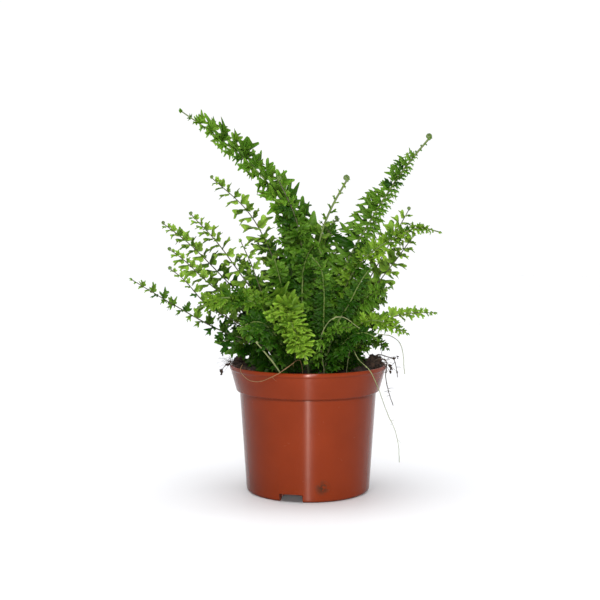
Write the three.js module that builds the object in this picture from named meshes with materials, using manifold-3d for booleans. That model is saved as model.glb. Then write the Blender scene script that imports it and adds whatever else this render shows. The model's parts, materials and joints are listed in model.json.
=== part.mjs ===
// A small Boston fern with finely cut leaflets, in a tapered plastic nursery pot.
// Millimetres, +Z up. The origin is on the pot's axis, on the surface that the pot stands on.

import * as THREE from 'three';
import { mergeVertices } from 'three/addons/utils/BufferGeometryUtils.js';
import Module from 'manifold-3d';

const wasm = await Module();
wasm.setup();

// The pot

const POT_HEIGHT = 68;
const RIM_RADIUS = 42.2;
const LIP_BEVEL = 0.5;
const BAND_HEIGHT = 14;
const BAND_FOOT_RADIUS = 38.5;
const BAND_FOOT_SLOPE = 0.1;
const BODY_TOP_RADIUS = 36.8;
const BASE_RADIUS = 33.2;
const BASE_BEVEL = 1;
const WALL = 1.2;
const FLOOR = 1.2;
const FLOOR_LIFT = 3;
const CENTRE_PAD_RADIUS = 11;
const CENTRE_PAD_SLOPE = 2.5;
const FOOT_RING_WIDTH = 3.4;
const POT_SIDES = 36;
const NOTCH_COUNT = 3;
const NOTCH_WIDTH = 12.6;
const NOTCH_HEIGHT = 4.2;
const NOTCH_INNER_RADIUS = 28.3;
const NOTCH_OUTER_RADIUS = 37.7;
const FRONT_NOTCH_TURN = THREE.MathUtils.degToRad(-106);
const DRAIN_HOLE_COUNT = 6;
const DRAIN_HOLE_RADIUS = 3;
const DRAIN_HOLE_SIDES = 10;

// The soil

const CLEARANCE = 0.3;
const SOIL_LEVEL = 63.5;
const SOIL_EDGE_RADIUS = 38.9;
const SOIL_EDGE_DROP = 0.6;
const SOIL_SIDES = 26;
const SOIL_RINGS = [1, 0.84, 0.64, 0.42, 0.2, 0];
const STALK_DEPTH = 6;
const STALK_HOLE_WIDTH = 2.5;

// The heaps of soil: over the rim at the right, a little at the left, and round the crown.

const HEAPS = [
  { at: [36, 2], height: 8, spread: 6 },
  { at: [33, -9], height: 4, spread: 5 },
  { at: [-36, -2], height: 4.5, spread: 6 },
  { at: [-31, -13], height: 2.5, spread: 6 },
  { at: [2, 0], height: 2.5, spread: 14 },
  { at: [-8, 34], height: 2, spread: 8 },
];

// The ribs, the leaflets and the room that they keep from one another

const RIB_HALF_WIDTH = 0.75;
const RIB_HALF_HEIGHT = 0.6;
const RIB_TAPER = 0.5;
const BARE_STEP = 9;
const LEAFLET_PITCH = 9.2;
const BLADE_THICKNESS = 0.7;
const SHORTEST_LEAFLET = 2.5;
const LARGE_LEAFLET_REACH = 8.6;
const CURL_RADIUS = 1.9;
const CURL_STEPS = 5;
const CURL_STEP_TURN = 0.95;
const RIB_SPACING = 2.3;
const BLADE_SPACING = 1.5;
const NEIGHBOUR_SPACING = 0.9;
const SOIL_SPACING = 1.5;
const RIM_SPACING = 2.2;
const ROOT_REACH = 1.8;
const SAMPLE_STEP = 0.85;
const RUNNER_STEP = 6;

const MATERIALS = {
  pot: new THREE.MeshStandardMaterial({ color: 0x8c3a22, roughness: 0.4, metalness: 0 }),
  soil: new THREE.MeshStandardMaterial({ color: 0x2a1e14, roughness: 0.95, metalness: 0 }),
  bright: new THREE.MeshStandardMaterial({ color: 0x86a832, roughness: 0.55, metalness: 0 }),
  mid: new THREE.MeshStandardMaterial({ color: 0x4f7a24, roughness: 0.55, metalness: 0 }),
  dark: new THREE.MeshStandardMaterial({ color: 0x2f5a1c, roughness: 0.55, metalness: 0 }),
  paleStem: new THREE.MeshStandardMaterial({ color: 0x9aa765, roughness: 0.6, metalness: 0 }),
  darkRoot: new THREE.MeshStandardMaterial({ color: 0x3a2e1e, roughness: 0.8, metalness: 0 }),
};

// Each frond: where its stalk stands in the soil, the points that its rib passes through, the way
// that its upper face looks, the share of the rib that is bare, its longest leaflet and its tone.
// They run from the left of the plant to its right, and the last ones lean back.

const FRONDS = [
  { foot: [-11, -7], face: [0, -0.7, 0.7], bare: 0.3, reach: 7, tone: 'mid', tip: 'leaf',
    way: [[-20, -7, 76], [-48, -5, 87], [-70, -4, 99], [-95, -4, 114]] },
  { foot: [-14, -4], face: [0, -0.8, 0.6], bare: 0.2, reach: 9, tone: 'dark', tip: 'leaf',
    way: [[-22, -4, 76], [-36, -5, 81], [-52, -6, 80]] },
  { foot: [-10.5, -2.5], face: [0, -1, 0.3], bare: 0.35, reach: 5, tone: 'mid', tip: 'curl',
    way: [[-30, -8, 86], [-53, -10, 100], [-66, -9, 114], [-74, -7, 120]] },
  { foot: [-13.5, 0.5], face: [0, -1, 0.4], bare: 0.3, reach: 6, tone: 'bright', tip: 'curl',
    way: [[-30, 2, 92], [-53, 1, 111], [-68, 0, 125], [-75, 0, 130]] },
  { foot: [-12, 4.5], face: [0, -1, 0.3], bare: 0.35, reach: 7, tone: 'mid', tip: 'curl',
    way: [[-20, 6, 88], [-45, 8, 113], [-64, 8, 132], [-79, 6, 144]] },
  { foot: [-9, 1.5], face: [0, -1, 0.3], bare: 0.4, reach: 7, tone: 'mid', tip: 'curl',
    way: [[-14, 0, 86], [-35, -3, 115], [-49, -4, 134], [-63, -4, 149]] },
  { foot: [-5.5, 5], face: [0, -1, 0.3], bare: 0.35, reach: 8, tone: 'dark', tip: 'curl',
    way: [[-7, 8, 88], [-18, 12, 122], [-32, 13, 149], [-53, 11, 169]] },
  { foot: [-6.5, -5.5], face: [0, -1, 0.3], bare: 0.3, reach: 8, tone: 'dark', tip: 'leaf',
    way: [[-10, -8, 85], [-23, -11, 104], [-30, -11, 122], [-36, -10, 135]] },
  { foot: [-6, -10], face: [0, -0.7, 0.7], bare: 0.25, reach: 11, tone: 'bright', tip: 'leaf',
    way: [[-12, -14, 88], [-28, -21, 102], [-44, -25, 105], [-58, -27, 99]] },
  { foot: [-1.5, 3], face: [0, -1, 0.2], bare: 0.2, reach: 12, tone: 'mid', tip: 'leaf',
    way: [[1, 6, 100], [-4, 8, 138], [-24, 9, 168], [-50, 8, 191], [-70, 5, 205]] },
  { foot: [-2.5, -3.5], face: [0.2, -1, 0.2], bare: 0.22, reach: 12, tone: 'mid', tip: 'curl',
    way: [[-3, -6, 95], [-4, -7, 136], [-8, -6, 150], [-16, -5, 167]] },
  { foot: [0, -12], face: [0, -0.9, 0.45], bare: 0.42, reach: 13, tone: 'bright', tip: 'leaf',
    way: [[-4, -16, 88], [-10, -27, 105], [-8, -37, 96], [-1, -43, 82], [1, -44, 75]] },
  { foot: [-1, -8], face: [0, -0.4, 0.9], bare: 0.22, reach: 11, tone: 'bright', tip: 'leaf',
    way: [[-3, -11, 95], [-2, -18, 122], [3, -28, 132], [7, -38, 127]] },
  { foot: [2.5, 0], face: [0.2, -1, 0.2], bare: 0.35, reach: 7, tone: 'mid', tip: 'curl',
    way: [[2, 1, 90], [7, 3, 135], [13, 4, 151], [22, 4, 168]] },
  { foot: [9, -6.5], face: [0, -0.9, 0.5], bare: 0.45, reach: 9, tone: 'bright', tip: 'leaf',
    way: [[8, -14, 88], [8, -24, 108], [6, -29, 121], [1, -32, 127]] },
  { foot: [5, -12], face: [0, -0.6, 0.8], bare: 0.25, reach: 9, tone: 'mid', tip: 'leaf',
    way: [[8, -20, 80], [14, -29, 89], [23, -36, 91]] },
  { foot: [5, -4.5], face: [0, -0.8, 0.6], bare: 0.25, reach: 9, tone: 'mid', tip: 'leaf',
    way: [[12, -8, 86], [24, -12, 98], [34, -14, 107], [43, -15, 110]] },
  { foot: [6, -0.5], face: [0, -1, 0.3], bare: 0.22, reach: 9, tone: 'dark', tip: 'leaf',
    way: [[12, 6, 88], [22, 13, 115], [17, 17, 136], [5, 18, 152]] },
  { foot: [8, 4], face: [0, -1, 0.2], bare: 0.2, reach: 10, tone: 'mid', tip: 'curl',
    way: [[11, 6, 90], [20, 10, 119], [36, 12, 148], [53, 11, 174], [66, 8, 190]] },
  { foot: [11.5, -2.5], face: [0, -0.8, 0.6], bare: 0.2, reach: 9, tone: 'bright', tip: 'leaf',
    way: [[13, -5, 90], [26, -12, 121], [45, -14, 136], [60, -12, 142], [73, -9, 139]] },
  { foot: [12, 2], face: [0, -1, 0.3], bare: 0.35, reach: 8, tone: 'mid', tip: 'curl',
    way: [[16, 3, 86], [30, 5, 108], [45, 5, 134], [55, 4, 152]] },
  { foot: [15.5, -1], face: [0, -1, 0.3], bare: 0.4, reach: 7, tone: 'mid', tip: 'curl',
    way: [[19, -1, 84], [34, -2, 107], [47, -3, 124], [57, -3, 138]] },
  { foot: [9, -11], face: [0, -0.9, 0.5], bare: 0.45, reach: 9, tone: 'bright', tip: 'leaf',
    way: [[14, -15, 88], [22, -19, 103], [27, -21, 113], [33, -23, 122]] },
  { foot: [13, -7], face: [0, -0.7, 0.7], bare: 0.2, reach: 9, tone: 'bright', tip: 'leaf',
    way: [[20, -14, 86], [34, -20, 93], [44, -22, 90], [52, -23, 86]] },
  { foot: [16.5, -5], face: [0, -0.8, 0.6], bare: 0.3, reach: 6, tone: 'dark', tip: 'leaf',
    way: [[26, -6, 84], [42, -8, 93], [56, -8, 96], [68, -8, 96]] },
  { foot: [24, 1], face: [0, -0.8, 0.6], bare: 0.3, reach: 5, tone: 'dark', tip: 'leaf',
    way: [[28, 0, 76], [33, -1, 79], [42, -2, 74]] },
  { foot: [-5, 9], face: [0, 0.5, 0.9], bare: 0.2, reach: 11, tone: 'mid', tip: 'leaf',
    way: [[-9, 16, 92], [-17, 27, 118], [-24, 36, 130], [-32, 43, 132]] },
  { foot: [3, 7], face: [0, 0.5, 0.9], bare: 0.2, reach: 11, tone: 'mid', tip: 'curl',
    way: [[4, 14, 96], [8, 24, 128], [13, 32, 142], [17, 41, 146]] },
  { foot: [0, 11.5], face: [0, 0.5, 0.9], bare: 0.25, reach: 10, tone: 'bright', tip: 'leaf',
    way: [[-1, 20, 84], [-2, 32, 98], [-4, 42, 98], [-6, 47, 88]] },
  { foot: [-9.5, 7.5], face: [0, 0.4, 0.9], bare: 0.25, reach: 10, tone: 'dark', tip: 'leaf',
    way: [[-18, 14, 84], [-32, 24, 96], [-43, 32, 98], [-52, 37, 93]] },
  { foot: [11, 7.5], face: [0, 0.4, 0.9], bare: 0.25, reach: 10, tone: 'mid', tip: 'leaf',
    way: [[19, 13, 88], [28, 22, 102], [36, 30, 107], [44, 36, 101]] },
  { foot: [7, 11], face: [0, 0.5, 0.9], bare: 0.25, reach: 9, tone: 'dark', tip: 'leaf',
    way: [[14, 20, 80], [24, 32, 90], [31, 41, 90], [35, 46, 82]] },
  { foot: [-10, -14], face: [0, -0.7, 0.7], bare: 0.2, reach: 10, tone: 'bright', tip: 'leaf',
    way: [[-16, -20, 84], [-26, -28, 93], [-36, -34, 90]] },
  { foot: [12, -14.5], face: [0, -0.6, 0.8], bare: 0.2, reach: 9, tone: 'mid', tip: 'leaf',
    way: [[19, -21, 82], [28, -29, 88], [36, -34, 84]] },
  { foot: [-17, 3], face: [0, -0.6, 0.8], bare: 0.2, reach: 9, tone: 'mid', tip: 'leaf',
    way: [[-28, 8, 86], [-42, 14, 98], [-54, 18, 104]] },
  { foot: [16.5, 4.5], face: [0, -0.6, 0.8], bare: 0.2, reach: 9, tone: 'mid', tip: 'leaf',
    way: [[24, 10, 88], [34, 17, 102], [44, 22, 108]] },
  { foot: [-6, -1.5], face: [0, -0.9, 0.4], bare: 0.2, reach: 10, tone: 'mid', tip: 'leaf',
    way: [[-9, -3, 88], [-14, -7, 110], [-18, -12, 126]] },
  { foot: [1.5, -4.3], face: [0, -0.9, 0.4], bare: 0.2, reach: 10, tone: 'dark', tip: 'leaf',
    way: [[2, -9, 88], [6, -15, 106], [12, -20, 118]] },
  { foot: [-14, 9.5], face: [0, 0.5, 0.8], bare: 0.2, reach: 9, tone: 'mid', tip: 'curl',
    way: [[-21, 17, 90], [-31, 26, 112], [-40, 31, 126]] },
  { foot: [12, 12], face: [0, 0.5, 0.8], bare: 0.2, reach: 9, tone: 'mid', tip: 'curl',
    way: [[17, 18, 92], [25, 27, 118], [34, 34, 136]] },
  { foot: [-7, 20], face: [0, 0.4, 0.9], bare: 0.2, reach: 8, tone: 'bright', tip: 'leaf',
    way: [[-11, 25, 74], [-18, 31, 80], [-27, 35, 81]] },
  { foot: [12, 19], face: [0, 0.4, 0.9], bare: 0.2, reach: 8, tone: 'mid', tip: 'leaf',
    way: [[16, 24, 74], [23, 30, 79], [32, 33, 79]] },
];

// Each runner or root: where it leaves the soil, the points that it passes through, its
// radius and its colour. They are threads that arch over the rim or hang beside the pot.

const RUNNERS = [
  { name: 'runner_arching', foot: [8, -16], radius: 0.6, tone: 'paleStem',
    way: [[6, -22, 84], [11, -25, 94], [18, -25, 95], [26, -24, 89.5], [35, -20, 86], [44, -16, 85],
      [49, -14, 79], [51, -13, 64]] },
  { name: 'runner_hanging', foot: [20, -17], radius: 0.6, tone: 'paleStem',
    way: [[22.5, -20, 79], [26.5, -28, 73.5], [31, -32, 69.5], [35, -32.5, 61.8], [41, -27, 45],
      [44, -26, 38.5], [46.7, -24, 28.4], [47.5, -23, 19]] },
  { name: 'root_right_front', foot: [34, -8], radius: 0.6, tone: 'darkRoot',
    way: [[38, -9, 73.5], [42.5, -9.6, 70.6], [43.6, -10, 62], [44, -10, 54.6], [45.3, -10, 46.7]] },
  { name: 'root_right', foot: [35.5, 1], radius: 0.6, tone: 'darkRoot',
    way: [[39, 1, 74.5], [43, 0, 73], [46, 0, 70.5], [47.5, 0, 66], [48.5, 0, 60.5]] },
  { name: 'root_front', foot: [-3, -27], radius: 0.5, tone: 'darkRoot',
    way: [[-5, -34, 74], [-11, -41.5, 71], [-17, -41, 67], [-25.5, -36, 63.3], [-31.3, -31.5, 64],
      [-35, -28, 68], [-34, -24, 70.5]] },
  { name: 'shoot_front_left', foot: [-14, -26], radius: 0.6, tone: 'paleStem',
    way: [[-17, -27, 72], [-23, -29, 79], [-29, -31, 86]] },
];

// Solids

function solidOf(geometry) {
  const bare = geometry.clone();
  bare.deleteAttribute('normal');
  bare.deleteAttribute('uv');
  const merged = mergeVertices(bare, 1e-4);
  return new wasm.Manifold(new wasm.Mesh({
    numProp: 3,
    vertProperties: new Float32Array(merged.attributes.position.array),
    triVerts: new Uint32Array(merged.index.array),
  }));
}

function geometryOf(solid) {
  const mesh = solid.getMesh();
  const geometry = new THREE.BufferGeometry();
  geometry.setAttribute('position', new THREE.BufferAttribute(new Float32Array(mesh.vertProperties), 3));
  geometry.setIndex(new THREE.BufferAttribute(new Uint32Array(mesh.triVerts), 1));
  geometry.computeVertexNormals();
  return geometry;
}

function meshOf(name, geometry, material) {
  const mesh = new THREE.Mesh(geometry, material);
  mesh.name = name;
  return mesh;
}

function polar(radius, turn) {
  return [radius * Math.cos(turn), radius * Math.sin(turn)];
}

function turned(profile, sides) {
  const points = profile.map(([radius, height]) => new THREE.Vector2(radius, height));
  return new THREE.LatheGeometry(points, sides).rotateX(Math.PI / 2);
}

// The pot: a turned profile, with notches in the foot ring and drain holes in the floor. It
// stands on the foot ring and on a flat pad in the middle of its floor.

function potProfile() {
  const bandFoot = POT_HEIGHT - BAND_HEIGHT;
  const channelOuter = BASE_RADIUS - FOOT_RING_WIDTH;
  const floorTop = FLOOR_LIFT + FLOOR;
  const outside = [
    [0, 0],
    [CENTRE_PAD_RADIUS, 0],
    [CENTRE_PAD_RADIUS + CENTRE_PAD_SLOPE, FLOOR_LIFT],
    [channelOuter - BASE_BEVEL, FLOOR_LIFT],
    [channelOuter, 0],
    [BASE_RADIUS - BASE_BEVEL, 0],
    [BASE_RADIUS, BASE_BEVEL],
    [BODY_TOP_RADIUS, bandFoot],
    [BAND_FOOT_RADIUS, bandFoot + BAND_FOOT_SLOPE],
    [RIM_RADIUS, POT_HEIGHT - LIP_BEVEL],
    [RIM_RADIUS - LIP_BEVEL, POT_HEIGHT],
  ];
  const inside = [
    [RIM_RADIUS - WALL, POT_HEIGHT],
    [BAND_FOOT_RADIUS - WALL, bandFoot + WALL],
    [BODY_TOP_RADIUS - WALL, bandFoot],
    [BASE_RADIUS - WALL, floorTop + BASE_BEVEL],
    [BASE_RADIUS - WALL - BASE_BEVEL, floorTop],
    [CENTRE_PAD_RADIUS + CENTRE_PAD_SLOPE - BASE_BEVEL / 2, floorTop],
    [CENTRE_PAD_RADIUS - BASE_BEVEL / 2, FLOOR],
    [0, FLOOR],
  ];
  return [...outside, ...inside];
}

function makePot() {
  let pot = solidOf(turned(potProfile(), POT_SIDES));
  for (let i = 0; i < NOTCH_COUNT; i += 1) {
    const turn = FRONT_NOTCH_TURN + (i * 2 * Math.PI) / NOTCH_COUNT;
    const depth = NOTCH_OUTER_RADIUS - NOTCH_INNER_RADIUS;
    const notch = new THREE.BoxGeometry(depth, NOTCH_WIDTH, 2 * NOTCH_HEIGHT);
    notch.translate(NOTCH_INNER_RADIUS + depth / 2, 0, 0);
    notch.rotateZ(turn);
    pot = pot.subtract(solidOf(notch));
  }
  for (let i = 0; i < DRAIN_HOLE_COUNT; i += 1) {
    const turn = FRONT_NOTCH_TURN + ((i + 0.5) * 2 * Math.PI) / DRAIN_HOLE_COUNT;
    const [x, y] = polar((CENTRE_PAD_RADIUS + BASE_RADIUS) / 2, turn);
    const radius = DRAIN_HOLE_RADIUS;
    const drill = new THREE.CylinderGeometry(radius, radius, 3 * FLOOR, DRAIN_HOLE_SIDES);
    drill.rotateX(Math.PI / 2);
    drill.translate(x, y, FLOOR_LIFT + FLOOR / 2);
    pot = pot.subtract(solidOf(drill));
  }
  return meshOf('pot', geometryOf(pot), MATERIALS.pot);
}

// The soil: its top is lumpy and heaped, its sides follow the inside of the pot, and a plain
// hole takes the foot of each stalk and root.

function soilHeight(x, y) {
  const broad = 0.5 * Math.sin(x * 0.55 + 1) * Math.sin(y * 0.5);
  const fine = 0.35 * Math.sin(x * 0.9 - y * 1.1);
  return HEAPS.reduce((height, heap) => {
    const apart = Math.hypot(x - heap.at[0], y - heap.at[1]);
    return height + heap.height * Math.exp(-((apart / heap.spread) ** 2));
  }, SOIL_LEVEL + broad + fine);
}

function makeSoil(feet) {
  const bandFoot = POT_HEIGHT - BAND_HEIGHT;
  const gap = WALL + CLEARANCE;
  const floor = FLOOR_LIFT + FLOOR + CLEARANCE;
  const side = [
    [0, floor],
    [BASE_RADIUS - BASE_BEVEL - gap - CLEARANCE / 2, floor],
    [BODY_TOP_RADIUS - gap - CLEARANCE, bandFoot],
    [BAND_FOOT_RADIUS - gap - BASE_BEVEL / 2, bandFoot + gap + CLEARANCE],
  ];
  const top = SOIL_RINGS.map((share) => [share * SOIL_EDGE_RADIUS, SOIL_LEVEL]);
  const geometry = turned([...side, ...top], SOIL_SIDES);
  const place = geometry.attributes.position;
  for (let i = 0; i < place.count; i += 1) {
    const [x, y, z] = [place.getX(i), place.getY(i), place.getZ(i)];
    if (z > SOIL_LEVEL - 1e-3) {
      const onEdge = Math.hypot(x, y) > SOIL_EDGE_RADIUS - 1;
      place.setZ(i, soilHeight(x, y) - (onEdge ? SOIL_EDGE_DROP : 0));
    }
  }
  let soil = solidOf(geometry);
  for (const [x, y] of feet) {
    const bottom = soilHeight(x, y) - STALK_DEPTH - CLEARANCE;
    const height = 3 * STALK_DEPTH;
    const hole = new THREE.BoxGeometry(STALK_HOLE_WIDTH, STALK_HOLE_WIDTH, height);
    hole.translate(x, y, bottom + height / 2);
    soil = soil.subtract(solidOf(hole));
  }
  return meshOf('soil', geometryOf(soil), MATERIALS.soil);
}

// Room keeps the points of what has been placed, in cells, so that what comes later stays clear.

class Room {
  constructor(cell) {
    this.cell = cell;
    this.cells = new Map();
  }

  key(point, dx = 0, dy = 0, dz = 0) {
    const cellOf = (length, shift) => Math.floor(length / this.cell) + shift;
    return [cellOf(point.x, dx), cellOf(point.y, dy), cellOf(point.z, dz)].join();
  }

  add(points, owner) {
    for (const point of points) {
      const key = this.key(point);
      if (!this.cells.has(key)) this.cells.set(key, []);
      this.cells.get(key).push({ point, owner });
    }
  }

  around(point) {
    const found = [];
    const steps = [-1, 0, 1];
    for (const dx of steps) {
      for (const dy of steps) {
        for (const dz of steps) {
          found.push(...(this.cells.get(this.key(point, dx, dy, dz)) ?? []));
        }
      }
    }
    return found;
  }
}

// A rib or thread starts upright in its hole in the soil, then passes through its points.

function layWay({ foot: [x, y], way }, stations) {
  const ground = soilHeight(x, y);
  const points = [[x, y, ground - STALK_DEPTH], [x, y, ground + 1.5], ...way];
  const vectors = points.map((point) => new THREE.Vector3(...point));
  return new THREE.CatmullRomCurve3(vectors, false, 'centripetal').getSpacedPoints(stations);
}

// A way that comes too near one laid before is pushed aside, and the push is spread along it. The
// stretch in the soil stays where it is.

function bendClear(points, room) {
  const fixed = 3;
  const reach = 4;
  const mostRounds = 40;
  for (let round = 0; round < mostRounds; round += 1) {
    const pushes = points.map((point, i) => {
      const push = new THREE.Vector3();
      if (i < fixed) return push;
      for (const other of room.around(point)) {
        const away = point.clone().sub(other.point);
        if (away.length() > RIB_SPACING) continue;
        away.setLength(RIB_SPACING - away.length() + 0.1);
        if (away.length() > push.length()) push.copy(away);
      }
      return push;
    });
    if (pushes.every((push) => push.length() === 0)) break;
    points.forEach((point, i) => {
      if (i < fixed) return;
      for (let near = -reach; near <= reach; near += 1) {
        const push = pushes[i + near];
        if (push) point.addScaledVector(push, (1 - Math.abs(near) / (reach + 1)) / 3);
      }
    });
  }
  return points;
}

function between(points, step) {
  const path = new THREE.CatmullRomCurve3(points);
  return path.getSpacedPoints(Math.ceil(path.getLength() / step));
}

// Frames along a way: forward, upper face and right-hand side, carried from its leafy middle.

function framesAlong(points, face, start) {
  const forward = points.map((point, i) => {
    const before = points[Math.max(i - 1, 0)];
    const after = points[Math.min(i + 1, points.length - 1)];
    return after.clone().sub(before).normalize();
  });
  const upright = (vector, i) => {
    const lean = vector.dot(forward[i]);
    return vector.clone().addScaledVector(forward[i], -lean).normalize();
  };
  const up = new Array(points.length);
  up[start] = upright(face, start);
  for (let i = start + 1; i < points.length; i += 1) up[i] = upright(up[i - 1], i);
  for (let i = start - 1; i >= 0; i -= 1) up[i] = upright(up[i + 1], i);
  return points.map((point, i) => ({
    point, forward: forward[i], up: up[i], side: forward[i].clone().cross(up[i]),
  }));
}

// A body of three-sided rib, whose side quads are left open where a leaflet grows from them.

class RibBody {
  constructor() {
    this.points = [];
    this.faces = [];
    this.rings = [];
  }

  vertex(point) {
    this.points.push(point.x, point.y, point.z);
    return this.points.length / 3 - 1;
  }

  place(vertex) {
    return new THREE.Vector3().fromArray(this.points, 3 * vertex);
  }

  quad(a, b, c, d) {
    this.faces.push(a, b, c, a, c, d);
  }

  ring({ point, up, side }, halfWidth, halfHeight) {
    const at = (across, rise) => point.clone().addScaledVector(side, across).addScaledVector(up, rise);
    const ring = {
      left: this.vertex(at(-halfWidth, halfHeight)),
      right: this.vertex(at(halfWidth, halfHeight)),
      keel: this.vertex(at(0, -halfHeight)),
    };
    this.rings.push(ring);
    return ring;
  }

  link(a, b, openSide = 0) {
    this.quad(a.left, a.right, b.right, b.left);
    if (openSide !== 1) this.quad(a.right, a.keel, b.keel, b.right);
    if (openSide !== -1) this.quad(a.keel, a.left, b.left, b.keel);
  }

  startCap(ring) {
    this.faces.push(ring.keel, ring.right, ring.left);
  }

  point(ring, apex) {
    const tip = this.vertex(apex);
    this.faces.push(ring.left, ring.right, tip, ring.right, ring.keel, tip, ring.keel, ring.left, tip);
  }

  geometry() {
    const geometry = new THREE.BufferGeometry();
    geometry.setAttribute('position', new THREE.Float32BufferAttribute(this.points, 3));
    geometry.setIndex(this.faces);
    geometry.computeVertexNormals();
    return geometry;
  }
}

// Leaflet outlines, from one root corner round the tip to the other. Each point is its share of
// the leaflet's length and of its half width; the lobes' ends are sharp and the rest has thickness.
// The triangles go by the points' order, root corners first and last.

const SMALL_LEAFLET = {
  outline: [[0.5, -1, 'sharp'], [0.58, -0.4], [1, 0, 'sharp'], [0.58, 0.4], [0.5, 1, 'sharp']],
  triangles: [[0, 1, 2], [2, 3, 4], [4, 5, 6], [0, 2, 4], [0, 4, 6]],
};
const LARGE_LEAFLET = {
  outline: [[0.3, -1, 'sharp'], [0.42, -0.42], [0.66, -0.85, 'sharp'], [0.7, -0.3], [1, 0, 'sharp'],
    [0.7, 0.3], [0.66, 0.85, 'sharp'], [0.42, 0.42], [0.3, 1, 'sharp']],
  triangles: [[0, 1, 2], [2, 3, 4], [4, 5, 6], [6, 7, 8], [8, 9, 10],
    [0, 2, 8], [0, 8, 10], [2, 4, 6], [2, 6, 8]],
};

// A leaflet's points in space, from its root corners on the rib, its pose and its size.

function leafletPoints(kind, roots, frame, sideSign, pose) {
  const root = roots[0].clone().add(roots[1]).multiplyScalar(0.5);
  const out = new THREE.Vector3()
    .addScaledVector(frame.side, sideSign * Math.cos(pose.sweep) * Math.cos(pose.fold))
    .addScaledVector(frame.forward, Math.sin(pose.sweep) * Math.cos(pose.fold))
    .addScaledVector(frame.up, Math.sin(pose.fold));
  const along = roots[1].clone().sub(roots[0]).normalize();
  const across = along.addScaledVector(out, -along.dot(out)).normalize();
  const face = out.clone().cross(across).normalize();
  const steepestFlip = 1.2;
  return kind.outline.map(([length, width, sharp]) => {
    const turn = pose.twist * length;
    const lean = across.clone().multiplyScalar(Math.cos(turn)).addScaledVector(face, Math.sin(turn));
    const normal = face.clone().multiplyScalar(Math.cos(turn)).addScaledVector(across, -Math.sin(turn));
    if (normal.dot(frame.up) < 0 && pose.fold < steepestFlip) normal.negate();
    const middle = root.clone()
      .addScaledVector(out, length * pose.length)
      .addScaledVector(lean, width * pose.halfWidth)
      .addScaledVector(frame.up, -pose.droop * length * length * pose.length);
    return { middle, normal, sharp: sharp === 'sharp' };
  });
}

function spread(a, b, c, step) {
  const longest = Math.max(a.distanceTo(b), b.distanceTo(c), c.distanceTo(a));
  const count = Math.ceil(longest / step);
  const points = [];
  for (let i = 0; i <= count; i += 1) {
    for (let j = 0; j <= count - i; j += 1) {
      const [u, v] = [i / count, j / count];
      points.push(a.clone().multiplyScalar(1 - u - v).addScaledVector(b, u).addScaledVector(c, v));
    }
  }
  return points;
}

function leafletSamples(kind, roots, outline) {
  const middles = [roots[0], ...outline.map((entry) => entry.middle), roots[1]];
  return kind.triangles.flatMap(([a, b, c]) => spread(middles[a], middles[b], middles[c], SAMPLE_STEP));
}

function clearOfPot(point) {
  const fromAxis = Math.hypot(point.x, point.y);
  const ground = soilHeight(point.x, point.y);
  if (fromAxis > RIM_RADIUS + RIM_SPACING) return point.z > 1;
  if (fromAxis > RIM_RADIUS - 5) return point.z > Math.max(POT_HEIGHT, ground) + SOIL_SPACING;
  return point.z > ground + SOIL_SPACING;
}

// A leaflet keeps its distance from other fronds, and less from the leaflets beside it on its own
// rib, which it meets at its root.

function isFree(room, point, frond, leaflet, roots) {
  const rootLine = new THREE.Line3(...roots);
  const fromRoot = rootLine.closestPointToPoint(point, true, new THREE.Vector3()).distanceTo(point);
  return room.around(point).every(({ point: other, owner }) => {
    if (owner.rib === frond) return true;
    if (owner.frond !== frond) return other.distanceTo(point) > BLADE_SPACING;
    if (owner.leaflet === leaflet || fromRoot < ROOT_REACH) return true;
    return other.distanceTo(point) > NEIGHBOUR_SPACING;
  });
}

// The poses that a leaflet tries in turn: as it grows, folded up or down, twisted, then shorter.

function* poses(natural) {
  const folds = [0, 0.35, -0.35, 0.7, -0.6, 1.0];
  const twists = [0, 0.5, -0.5];
  for (const size of [1, 0.8, 0.62, 0.45]) {
    for (const fold of folds) {
      for (const twist of twists) {
        yield {
          ...natural,
          fold: natural.fold + fold,
          twist: natural.twist + twist,
          length: natural.length * size,
          halfWidth: natural.halfWidth * Math.sqrt(size),
        };
      }
    }
  }
}

// Small even variation without a random source: the fractional part of golden-ratio steps.

function vary(seed, amount) {
  const share = (seed * 0.618033988749895) % 1;
  return (share - 0.5) * 2 * amount;
}

// The blade of a leaflet: two like faces over its outline, joined along the edge, and open only
// along its root, where they share the rib's own corners.

function addBlade(body, kind, rings, sideSign, outline) {
  const [first, last] = sideSign > 0 ? rings : [rings[1], rings[0]];
  const rim = sideSign > 0 ? 'right' : 'left';
  const half = BLADE_THICKNESS / 2;
  const top = [first[rim]];
  const bottom = [first.keel];
  for (const { middle, normal, sharp } of outline) {
    const rise = sharp ? 0 : half;
    top.push(body.vertex(middle.clone().addScaledVector(normal, rise)));
    bottom.push(sharp ? top.at(-1) : body.vertex(middle.clone().addScaledVector(normal, -rise)));
  }
  top.push(last[rim]);
  bottom.push(last.keel);
  for (const [a, b, c] of kind.triangles) {
    body.faces.push(top[a], top[b], top[c], bottom[a], bottom[c], bottom[b]);
  }
  for (let i = 0; i + 1 < top.length; i += 1) {
    if (top[i] === bottom[i]) body.faces.push(bottom[i], bottom[i + 1], top[i + 1]);
    else if (top[i + 1] === bottom[i + 1]) body.faces.push(bottom[i], bottom[i + 1], top[i]);
    else body.quad(bottom[i], bottom[i + 1], top[i + 1], top[i]);
  }
}

// A leaflet's size and pose as it grows, by its place along the leafy stretch: widest a third of
// the way out, and leaning further forward towards the tip.

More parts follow.
